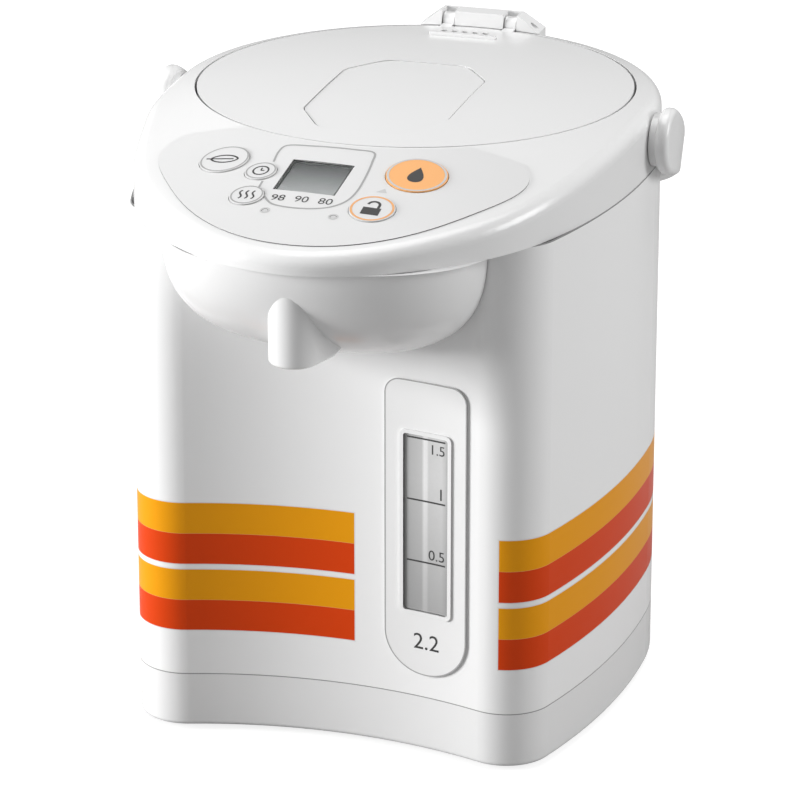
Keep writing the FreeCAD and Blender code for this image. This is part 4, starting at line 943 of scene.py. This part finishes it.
@dataclass
class SignPrint(Print):
    """A key's sign; its own sizes are shares of the sign's size."""

    size: float = 1.0
    curve_steps: int = 14
    drop_half: float = 0.72
    drop_taper: float = 1.4
    drop_height: float = 0.9
    lock_half: float = 0.8
    lock_top: float = 0.1
    arch_radius: float = 0.5
    arch_height: float = 0.55
    arch_line: float = 0.24
    arch_steps: int = 10
    leaf_half: float = 1.1
    leaf_height: float = 0.55
    leaf_taper: float = 0.3
    leaf_line: float = 0.16
    stalk_length: float = 1.5
    rib_length: float = 0.75
    dial_radius: float = 0.95
    dial_line: float = 0.22
    minute_hand: float = 0.6
    hour_hand: float = 0.45
    line: float = 0.2
    wave_places: tuple[float, ...] = (-0.75, 0.0, 0.75)
    wave_swing: float = 0.2
    wave_height: float = 1.7
    wave_steps: int = 8

    def draw(self, sign: Sign) -> None:
        """Draw one of the signs round the middle."""
        {Sign.DROP: self.drop, Sign.OPEN_LOCK: self.open_lock, Sign.LEAF: self.leaf,
         Sign.CLOCK: self.clock, Sign.WAVES: self.waves}[sign]()

    def drop(self) -> None:
        """Fill a drop with its point upwards."""
        self.patch([(self.size * self.drop_half * math.sin(turn) * math.sin(turn / 2) ** self.drop_taper,
                     self.size * self.drop_height * math.cos(turn)) for turn in full_turn(self.curve_steps)])

    def open_lock(self) -> None:
        """Fill a lock's body and lay its lifted arch."""
        half, top = self.size * self.lock_half, self.size * self.lock_top
        radius, lift = self.size * self.arch_radius, self.size * self.arch_height
        self.patch(((-half, -self.size), (half, -self.size), (half, top), (-half, top)))
        arch = [(radius * math.cos(turn), lift + radius * math.sin(turn))
                for turn in half_turn(self.arch_steps)]
        self.ribbon([(radius, top)] + arch, self.size * self.arch_line)

    def leaf(self) -> None:
        """Lay a pointed leaf's outline, its stalk and its rib."""
        blade = [(self.size * self.leaf_half * math.cos(turn),
                  self.size * self.leaf_height * math.sin(turn) * abs(math.sin(turn)) ** self.leaf_taper)
                 for turn in full_turn(self.curve_steps)]
        width = self.size * self.leaf_line
        stalk, rib = -self.size * self.stalk_length, self.size * self.rib_length
        self.ribbon(blade, width, closed=True)
        self.ribbon(((stalk, 0.0), (0.0, 0.0), (rib, 0.0)), width)

    def clock(self) -> None:
        """Lay a dial and its two hands."""
        self.ring(0.0, 0.0, self.size * self.dial_radius, self.size * self.dial_line)
        self.ribbon(((0.0, self.size * self.minute_hand), (0.0, 0.0)), self.size * self.line)
        self.ribbon(((0.0, 0.0), (self.size * self.hour_hand, 0.0)), self.size * self.line)

    def waves(self) -> None:
        """Lay upright waves side by side."""
        for shift in self.wave_places:
            wave = [(self.size * (shift + self.wave_swing * math.sin(2 * math.pi * step / self.wave_steps)),
                     self.size * (step / self.wave_steps - 0.5) * self.wave_height)
                    for step in range(self.wave_steps + 1)]
            self.ribbon(wave, self.size * self.line)


@dataclass(frozen=True)
class RoundedSlot(Window):
    """Upright rounded shape: what it spans in height beside any x."""

    bottom_round: float
    top_round: float

    def span(self, x: float) -> Point:
        """Find how far the shape reaches beside x.

        Args:
            x: The place along x.

        Returns:
            Its lowest and highest millimetre there.
        """
        depth = max(0.0, min(x - self.left, self.right - x))

        def rise(radius: float) -> float:
            """Height lost to a corner at that depth from the side."""
            return radius - math.sqrt(max(0.0, radius ** 2 - max(0.0, radius - depth) ** 2))

        return self.bottom + rise(self.bottom_round), self.top - rise(self.top_round)

    def stations(self, steps: int = 40) -> list[float]:
        """Places along x, closer together towards the sides."""
        middle, half = (self.left + self.right) / 2, (self.right - self.left) / 2
        return [middle - half * math.cos(turn) for turn in half_turn(steps)]


class Edge(IntEnum):
    """The four edges of a layer beside any x."""

    OUTER_LOW = 0
    OUTER_HIGH = 1
    HOLE_LOW = 2
    HOLE_HIGH = 3


WHOLE_STRIP = ((Edge.OUTER_LOW, Edge.OUTER_HIGH),)
STRIPS_BY_HOLE = ((Edge.OUTER_LOW, Edge.HOLE_LOW), (Edge.HOLE_HIGH, Edge.OUTER_HIGH))


@dataclass
class Sheet:
    """Raised layers on the front skin, gathered into one mesh."""

    points: list[Vector] = field(default_factory=list)
    faces: Faces = field(default_factory=list)
    hole_steps: int = 24

    def layer(self, outer: RoundedSlot, hole: RoundedSlot, foot: FrontSkin, face: FrontSkin) -> None:
        """Add one layer with an opening.

        Args:
            outer: The layer's outline.
            hole: Its opening.
            foot: Skin where its edges start.
            face: Skin of its visible face.
        """
        places = sorted(outer.stations() + hole.stations(self.hole_steps))
        spots: dict[Point, int] = {}
        edges: dict[tuple[int, int], tuple[Point, Point]] = {}
        for left, right in zip(places, places[1:]):
            if right - left < TINY:
                continue
            inside = hole.left < (left + right) / 2 < hole.right
            for low, high in STRIPS_BY_HOLE if inside else WHOLE_STRIP:
                corners = [(x, self.level(outer, hole, x, edge))
                           for x, edge in ((left, low), (right, low), (right, high), (left, high))]
                for spot in corners:
                    if spot not in spots:
                        spots[spot] = len(self.points)
                        self.points.append(face.place(*spot))
                self.faces.append(tuple(dict.fromkeys(spots[spot] for spot in corners)))
                for first, second in zip(corners, corners[1:] + corners[:1]):
                    if edges.pop((spots[second], spots[first]), None) is None and first != second:
                        edges[(spots[first], spots[second])] = (first, second)
        for (first, second), ends in edges.items():
            start = len(self.points)
            self.points += [foot.place(*end) for end in ends]
            self.faces.append((second, first, start, start + 1))

    @staticmethod
    def level(outer: RoundedSlot, hole: RoundedSlot, x: float, edge: Edge) -> float:
        """Height of one of the four edges beside x."""
        return (*outer.span(x), *hole.span(x))[edge]


# Sub-assemblies


@dataclass
class SubAssembly:
    """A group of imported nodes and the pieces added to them."""

    finishes: dict[str, Finish]

    def build(self) -> None:
        """Add the group's own pieces; most groups have none."""

    def dress(self) -> None:
        """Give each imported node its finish."""
        for name, finish in self.finishes.items():
            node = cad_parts[name]
            node.data.materials.clear()
            node.data.materials.append(material_of(finish))
            log.info("dressed %s in %s", name, finish.name)


STRIPES = (Band(45.4, 58.9, ORANGE), Band(58.9, 72.5, YELLOW), Band(75.0, 88.5, ORANGE),
           Band(88.5, 102.0, YELLOW))


@dataclass
class Shell(SubAssembly):
    """Base skirt, printed casing, bail and inlet."""

    finishes: dict[str, Finish] = field(default_factory=lambda: {
        "base_pan": WHITE,
        "outer_casing": PrintedSteel("printed_steel", shade(241), STRIPES, heights_of("outer_casing")),
        "carry_handle": WHITE, "handle_pins": STEEL, "power_inlet": BLACK, "inlet_pins": BRASS,
        "foot_ring": GREY, "foot_pads": RUBBER, "base_screws": STEEL})


@dataclass
class Head(SubAssembly):
    """Collar with the spout basin, the nozzle and the hinge cover.

    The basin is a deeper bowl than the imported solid, and narrower at its ends.
    """

    half: float = 66.0
    reach: float = 65.9
    depth: float = 50.2
    side_power: float = 2.7
    front_power: float = 1.9
    fall_power: int = 3
    fall_steps: int = 32
    turn_steps: int = 64
    seam_z: float = 226.0
    rim_slack: float = 0.05
    flange: float = 1.1
    flange_lift: float = 0.02
    nozzle_y: float = -160.0
    nozzle_z: float = 185.0
    shroud_radius: float = 10.2
    shroud_half: float = 18.0
    shroud_length: float = 24.0
    shroud_rise: float = 6.0
    shroud_round: float = 2.0
    shroud_top: float = 217.0
    front_steps: int = 24
    side_steps: int = 8
    edge_steps: int = 5
    well_radius: float = 8.05
    finishes: dict[str, Finish] = field(default_factory=lambda: {
        "collar": WHITE, "spout_housing": WHITE, "spout_nozzle": GREY, "hinge_cover": WHITE,
        "hinge_pin": STEEL, "lid_catch": GREY})

    def build(self) -> None:
        """Shape the basin with its nozzle shroud."""
        points, faces = join(self.basin(), self.shroud(), self.packed_rim(), self.brim())
        piece = new_piece("spout_basin", points, faces, "pot", WHITE, smooth=True)
        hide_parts("spout_housing")

    def basin(self) -> Mesh:
        """Shape the full bowl that runs down and back onto the casing's front.

        Returns:
            Its points and faces, open round the well.
        """
        skin = FrontSkin(ON_CASING)
        rows = []
        for step in range(self.fall_steps + 1):
            fall = 1 - (1 - step / self.fall_steps) ** self.fall_power
            half = self.half * (1 - fall ** self.side_power) ** (1 / self.side_power)
            reach = self.reach * (1 - fall ** self.front_power) ** (1 / self.front_power)
            z = self.seam_z - self.depth * fall
            rows.append([row(half * math.cos(turn),
                             skin.face_y(half * math.cos(turn)) - reach * math.sin(turn), z)
                         for turn in half_turn(self.turn_steps)])
        points, faces = stack_rows(rows, False)
        middle = row(0.0, self.nozzle_y, 0.0)
        hole = self.well_radius * MM
        faces = [face for face in faces
                 if any(math.hypot(points[number].x, points[number].y - middle.y) > hole for number in face)]
        return points, faces

    def shroud(self) -> Mesh:
        """Shape the nozzle body, round in front and flaring back.

        Returns:
            Its points and faces, with a rounded lower edge round the well.
        """
        length = math.hypot(self.shroud_half, self.shroud_length)
        turn = math.atan2(self.shroud_length, self.shroud_half) - math.acos(self.shroud_radius / length)
        sweep = [-math.pi - turn + (math.pi + 2 * turn) * step / self.front_steps
                 for step in range(self.front_steps + 1)]
        front = [(math.cos(angle), math.sin(angle)) for angle in sweep]
        plan = [(self.shroud_radius * x, self.shroud_radius * y, x, y) for x, y in front]
        from_x, from_y, side_x, side_y = plan[-1]
        for step in range(1, self.side_steps + 1):
            share = step / self.side_steps
            plan.append((from_x + share * (self.shroud_half - from_x),
                         from_y + share * (self.shroud_length - from_y), side_x, side_y))
        plan += [(-x, y, -nx, ny) for x, y, nx, ny in reversed(plan[len(front):])]
        rows = []
        for step in range(self.edge_steps + 1):
            bend = math.pi / 2 * step / self.edge_steps
            inset = self.shroud_round * (1 - math.sin(bend))
            lift = self.shroud_round * (1 - math.cos(bend))
            rows.append([row(x - nx * inset, self.nozzle_y + y - ny * inset, self.under_z(y) + lift)
                         for x, y, nx, ny in plan])
        rows.append([row(x, self.nozzle_y + y, self.shroud_top) for x, y, _, _ in plan])
        middle = row(0.0, self.nozzle_y, 0.0)
        angles = [math.atan2(point.y - middle.y, point.x) for point in rows[0]]
        mouth = [row(self.well_radius * math.cos(angle), self.nozzle_y + self.well_radius * math.sin(angle),
                     self.nozzle_z) for angle in angles]
        return stack_rows([mouth] + rows, True)

    def under_z(self, y: float) -> float:
        """Height of the shroud's underside, y behind the nozzle."""
        run = self.shroud_length - self.shroud_radius
        return self.nozzle_z + self.shroud_rise * max(0.0, y - self.shroud_radius) / run

    def packed_rim(self) -> Mesh:
        """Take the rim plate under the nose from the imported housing.

        Returns:
            Its points and faces.
        """
        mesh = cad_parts["spout_housing"].data
        lowest = (self.seam_z - self.rim_slack) * MM
        faces = [tuple(face.vertices) for face in mesh.polygons
                 if all(mesh.vertices[number].co.z > lowest for number in face.vertices)]
        used = sorted({number for face in faces for number in face})
        place = {number: index for index, number in enumerate(used)}
        points = [mesh.vertices[number].co.copy() for number in used]
        return points, [tuple(place[number] for number in face) for face in faces]

    def brim(self) -> Mesh:
        """Shape the narrow brim between the bowl and the rim plate.

        Returns:
            Its points and faces.
        """
        skin = FrontSkin(ON_CASING)
        outer: list[Vector] = []
        inner: list[Vector] = []
        for turn in half_turn(self.turn_steps):
            x = self.half * math.cos(turn)
            y = skin.face_y(x) - self.reach * math.sin(turn)
            outer.append(row(self.flange * x, y, self.seam_z + self.flange_lift))
            inner.append(row(x, y, self.seam_z))
        return stack_rows((outer, inner), False)


@dataclass
class Lid(SubAssembly):
    """Hinged lid with its lever, latch, vent and plug."""

    finishes: dict[str, Finish] = field(default_factory=lambda: {
        "lid_cover": WHITE, "lid_lever": WHITE, "steam_cap": WHITE, "lid_inner_cover": GREY,
        "lid_latch": GREY, "lever_pin": STEEL, "lever_springs": STEEL, "lid_gasket": SILICONE,
        "valve_guide": GREY, "spill_valve": SILICONE})


@dataclass(frozen=True)
class Key:
    """One press key: where its cap is, its edge line and its sign."""

    node: str
    body: str
    x: float
    y: float
    radius: float
    ring_width: float
    ring_ink: Ink
    sign: Sign


@dataclass
class ControlPanel(SubAssembly):
    """Overlay with the display frame, its figures, the lamps and five keys."""

    film_lift: float = 0.46
    key_lift: float = 0.95
    line: float = 0.85
    ring_margin: float = 0.45
    sign_share: float = 0.5
    frame_path: tuple[Point, ...] = (
        (-25.3, -109.2), (-25.8, -101.0), (-23.6, -96.3), (-14.0, -96.0), (-5.5, -96.0), (5.0, -96.2),
        (12.6, -96.8), (14.1, -103.4), (14.9, -114.6), (14.8, -125.9), (12.8, -133.5), (7.8, -138.8),
        (0.7, -141.2), (-8.0, -141.6), (-15.8, -139.8), (-20.6, -134.6))
    frame_rest: tuple[Point, ...] = ((-24.9, -123.8), (-24.8, -128.6))
    figures: tuple[tuple[str, float], ...] = (("98", -14.6), ("90", -4.9), ("80", 5.0))
    figure_base: float = -137.2
    figure_height: float = 4.4
    arrow: tuple[Point, ...] = ((22.2, -124.4), (26.6, -124.2), (25.0, -121.2))
    lamps: tuple[Point, ...] = ((-16.7, -144.9), (11.4, -145.2))
    lamp_radius: float = 1.75
    lamp_line: float = 0.7
    keys: tuple[Key, ...] = (
        Key("button_dispense", "dispense_button", 34.2, -108.8, 12.4, 0.9, PALE_INK, Sign.DROP),
        Key("button_unlock", "unlock_button", 24.6, -136.8, 9.2, 0.9, ORANGE_INK, Sign.OPEN_LOCK),
        Key("button_energy_saver", "energy_saver_button", -46.3, -108.3, 10.2, 0.6, GREY_INK, Sign.LEAF),
        Key("button_timer", "timer_button", -28.0, -116.9, 6.5, 0.6, GREY_INK, Sign.CLOCK),
        Key("button_keep_warm", "keep_warm_button", -27.6, -135.2, 7.0, 0.6, GREY_INK, Sign.WAVES))
    finishes: dict[str, Finish] = field(default_factory=lambda: {
        # The edge colour is painted shade on the film's cut edges.
        "panel_overlay": FilmWithPaintedEdgeShade("panel_film", face=shade(222), edge=shade(110)),
        "lcd_window": ClearPane("clear_plastic", (0.93, 0.95, 0.95)),
        # The darker tone is the display's painted shadow under the bezel.
        "lcd_module": DisplayGlass("display", shade(238), shade(70), rear=-107.0, front=-130.0),
        "button_dispense": ORANGE_KEY, "button_unlock": WHITE_KEY, "button_energy_saver": WHITE_KEY,
        "button_timer": WHITE_KEY, "button_keep_warm": WHITE_KEY,
        "indicator_lamps": Ink("lamp", shade(206)), "control_board": CircuitBoard("board"),
        "key_switches": BLACK})

    def on_film(self) -> Print:
        """Start a print on the film."""
        return Print(SlopeSkin(self.film_lift).place)

    def build(self) -> None:
        """Lay the printed marks on the film and the keys."""
        lines = self.on_film()
        lines.ribbon(smooth_path(self.frame_path), self.line)
        lines.ribbon(self.frame_rest, self.line)
        lines.make("display_frame_line", "pot", GREY_INK)
        figures = self.on_film()
        for words, x in self.figures:
            figures.text(words, x, self.figure_base, self.figure_height)
        figures.make("temperature_figures", "pot", DARK_INK)
        marks = self.on_film()
        marks.patch(self.arrow)
        for x, y in self.lamps:
            marks.ring(x, y, self.lamp_radius, self.lamp_line)
        marks.make("panel_arrow_and_lamp_rings", "pot", PALE_INK)
        for key in self.keys:
            self.build_key(key)

    def build_key(self, key: Key) -> None:
        """Print one key's edge line and sign.

        Args:
            key: The key.
        """
        skin = SlopeSkin(self.key_lift)
        edge = Print(skin.place)
        edge.ring(key.x, key.y, key.radius - key.ring_width / 2 - self.ring_margin, key.ring_width)
        edge.make(key.node + "_line", key.body, key.ring_ink)
        sign = SignPrint(lambda x, y: skin.place(key.x + x, key.y + y), size=key.radius * self.sign_share)
        sign.draw(key.sign)
        sign.make(key.node + "_sign", key.body, DARK_INK)


GAUGE_WINDOW = Window(29.1, 48.7, 64.2, 140.8)


@dataclass
class Gauge(SubAssembly):
    """Level gauge: surround, pane, level lines and figures.

    Each figure beside the lines has its inset, baseline and height.
    """

    window_gap: float = 0.2
    window_round: float = 1.2
    rim_width: float = 1.6
    rim_round: float = 2.6
    rim_foot: float = 0.5
    rim_lift: float = 1.8
    plate: RoundedSlot = RoundedSlot(20.7, 57.1, 36.0, 163.5, 18.0, 6.5)
    plate_lift: float = 1.0
    outline_lift: float = 0.03
    outline_width: float = 0.5
    outline_steps: int = 72
    pane_lift: float = 0.86
    line: float = 0.7
    line_left: float = 30.4
    line_right: float = 47.6
    line_steps: int = 8
    levels: tuple[float, ...] = (139.4, 112.6, 85.9)
    figures: tuple[tuple[str, float, float, float], ...] = (
        ("1.5", 0.0, 133.4, 4.4), ("1", 0.2, 114.2, 5.2), ("0.5", 0.0, 87.4, 4.6))
    capacity: str = "2.2"
    capacity_lift: float = 0.05
    capacity_x: float = 39.2
    capacity_base: float = 47.4
    capacity_height: float = 7.2
    finishes: dict[str, Finish] = field(default_factory=lambda: {
        "gauge_panel": WHITE, "gauge_window": GaugePane("gauge_pane", GAUGE_WINDOW),
        "gauge_tube": ClearPane("glass_tube", (0.9, 0.94, 0.94))})

    def build(self) -> None:
        """Shape the surround and print on it and on the pane."""
        window = GAUGE_WINDOW.rounded(self.window_gap, self.window_round)
        surround = Sheet()
        surround.layer(self.plate, window, FrontSkin(ON_CASING), FrontSkin(self.plate_lift))
        surround.layer(window.rounded(self.rim_width, self.rim_round), window, FrontSkin(self.rim_foot),
                       FrontSkin(self.rim_lift))
        piece = new_piece("gauge_surround", surround.points, surround.faces, "pot", WHITE, smooth=True)
        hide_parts("gauge_panel")
        edge = Print(FrontSkin(self.plate_lift + self.outline_lift).place)
        places = self.plate.stations(self.outline_steps)
        outline = [(x, self.plate.span(x)[0]) for x in places]
        outline += [(x, self.plate.span(x)[1]) for x in reversed(places)]
        edge.ribbon(outline, self.outline_width, closed=True)
        edge.make("gauge_edge_line", "pot", GREY_INK)
        pane = Print(FrontSkin(self.pane_lift).place)
        reach = self.line_right - self.line_left
        for level in self.levels:
            pane.ribbon([(self.line_left + reach * step / self.line_steps, level)
                         for step in range(self.line_steps + 1)], self.line)
        for words, inset, base, height in self.figures:
            pane.text(words, self.line_right - inset, base, height, "RIGHT")
        pane.make("gauge_level_marks", "pot", DARK_INK)
        plate = Print(FrontSkin(self.plate_lift + self.capacity_lift).place)
        plate.text(self.capacity, self.capacity_x, self.capacity_base, self.capacity_height)
        plate.make("gauge_capacity_figure", "pot", DARK_INK)


@dataclass
class Vessel(SubAssembly):
    """Vacuum vessel, heater, pipes and their support."""

    finishes: dict[str, Finish] = field(default_factory=lambda: {
        "inner_container": STEEL, "vacuum_jacket": STEEL, "mouth_packing": SILICONE, "heater_ring": PLATED,
        "thermostat": BLACK, "vessel_support": GREY, "riser_pipe": SILICONE, "outlet_pipe": SILICONE})


@dataclass
class Works(SubAssembly):
    """Magnet-driven pump, its motor and the supply board."""

    finishes: dict[str, Finish] = field(default_factory=lambda: {
        "pump_housing": GREY, "pump_impeller": GREY, "drive_magnet": FERRITE, "pump_motor": PLATED,
        "pump_bracket": GREY, "motor_cradle": RUBBER, "power_board": CircuitBoard("supply_board")})


# Studio


@dataclass(frozen=True)
class Softbox:
    """One square area lamp that looks at a point."""

    name: str
    place: Triple
    aim: Triple
    size: float
    power: float

    def make(self) -> None:
        """Add the lamp."""
        data = bpy.data.lights.new(self.name, "AREA")
        data.shape = "SQUARE"
        data.size = self.size
        data.energy = self.power
        lamp = bpy.data.objects.new(self.name, data)
        lamp.location = self.place
        lamp.rotation_mode = "QUATERNION"
        lamp.rotation_quaternion = (Vector(self.aim) - Vector(self.place)).to_track_quat("-Z", "Y")
        bpy.context.scene.collection.objects.link(lamp)


@dataclass
class Studio:
    """Camera at the photograph's angle, soft lamps, pale floor and white surroundings.

    The floor and the sky are white to the camera and dimmer as light. The floor's glow grows to
    full with the distance from the pot.
    """

    camera_place: Triple = (0.5076, -1.6155, 0.7497)
    azimuth: float = 17.365
    pitch: float = 20.302
    lens: float = 192.24
    sensor: float = 36.0
    sky: float = 0.26
    floor_size: float = 30.0
    paper: tuple[Colour, Colour] = ((0.93, 0.93, 0.93), (0.91, 0.91, 0.91))
    paper_scale: float = 60.0
    paper_roughness: float = 0.9
    paper_as_light: Colour = (0.38, 0.38, 0.38)
    glow: float = 0.62
    glow_strength: float = 1.3
    fade: float = 4e-7
    lamps: tuple[Softbox, ...] = (
        Softbox("key_lamp", (-2.0, -0.95, 0.62), (0.0, 0.0, 0.13), 0.9, 64.0),
        Softbox("side_lamp", (1.9, 0.3, 0.9), (0.0, 0.0, 0.12), 0.9, 19.0),
        Softbox("top_lamp", (0.0, 0.25, 2.0), (0.0, 0.0, 0.2), 1.4, 20.0))

    def build(self) -> None:
        """Make camera, lamps, sky and floor."""
        data = bpy.data.cameras.new("camera")
        data.lens = self.lens
        data.sensor_width = self.sensor
        camera = bpy.data.objects.new("camera", data)
        camera.location = self.camera_place
        camera.rotation_euler = (math.radians(90 - self.pitch), 0.0, math.radians(self.azimuth))
        bpy.context.scene.collection.objects.link(camera)
        bpy.context.scene.camera = camera
        bpy.context.scene.view_settings.view_transform = "Standard"
        for lamp in self.lamps:
            lamp.make()
        graph = Graph(bpy.data.worlds.new("sky"))
        seen = graph.output(graph.add("ShaderNodeLightPath"), "Is Camera Ray")
        strength = self.sky + seen * (1 - self.sky)
        bpy.context.scene.world = graph.finish(Color=WHITE_LIGHT, Strength=strength)
        self.build_floor()

    def build_floor(self) -> None:
        """Lay a pale floor that renders near white and keeps the shadow."""
        half = self.floor_size / 2
        corners = [(-half, -half, 0), (half, -half, 0), (half, half, 0), (-half, half, 0)]
        mesh = bpy.data.meshes.new("floor")
        mesh.from_pydata(corners, [], [(0, 1, 2, 3)])
        floor = bpy.data.objects.new("floor", mesh)
        bpy.context.scene.collection.objects.link(floor)
        graph = Graph(bpy.data.materials.new("floor_paper"))
        seen = graph.output(graph.add("ShaderNodeLightPath"), "Is Camera Ray")
        paper = graph.blend(graph.noise(self.paper_scale, CLOUD_DETAIL), *self.paper)
        material = graph.finish(Base_Color=graph.blend(seen, self.paper_as_light, paper),
                                Roughness=self.paper_roughness)
        glow = graph.add("ShaderNodeEmission", None, {"Color": WHITE_LIGHT, "Strength": self.glow_strength})
        x, y, _ = graph.axes()
        away = (x * x + y * y) * self.fade
        far = away.maths("MINIMUM", away, 1.0)
        mixed = graph.add("ShaderNodeMixShader", None, {
            0: seen * (self.glow + far * (1 - self.glow)),
            1: Wire(graph, graph.shader.outputs[0]), 2: graph.output(glow)})
        graph.feed(graph.tree.nodes["Material Output"].inputs["Surface"], graph.output(mixed))
        mesh.materials.append(material)


def main() -> None:
    """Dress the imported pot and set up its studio."""
    logging.basicConfig(level=logging.INFO, format="%(message)s")
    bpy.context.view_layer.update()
    for group in (Shell(), Head(), Lid(), ControlPanel(), Gauge(), Vessel(), Works()):
        group.build()
        group.dress()
        log.info("finished %s", type(group).__name__)
    Studio().build()


if __name__ == "__main__":
    main()
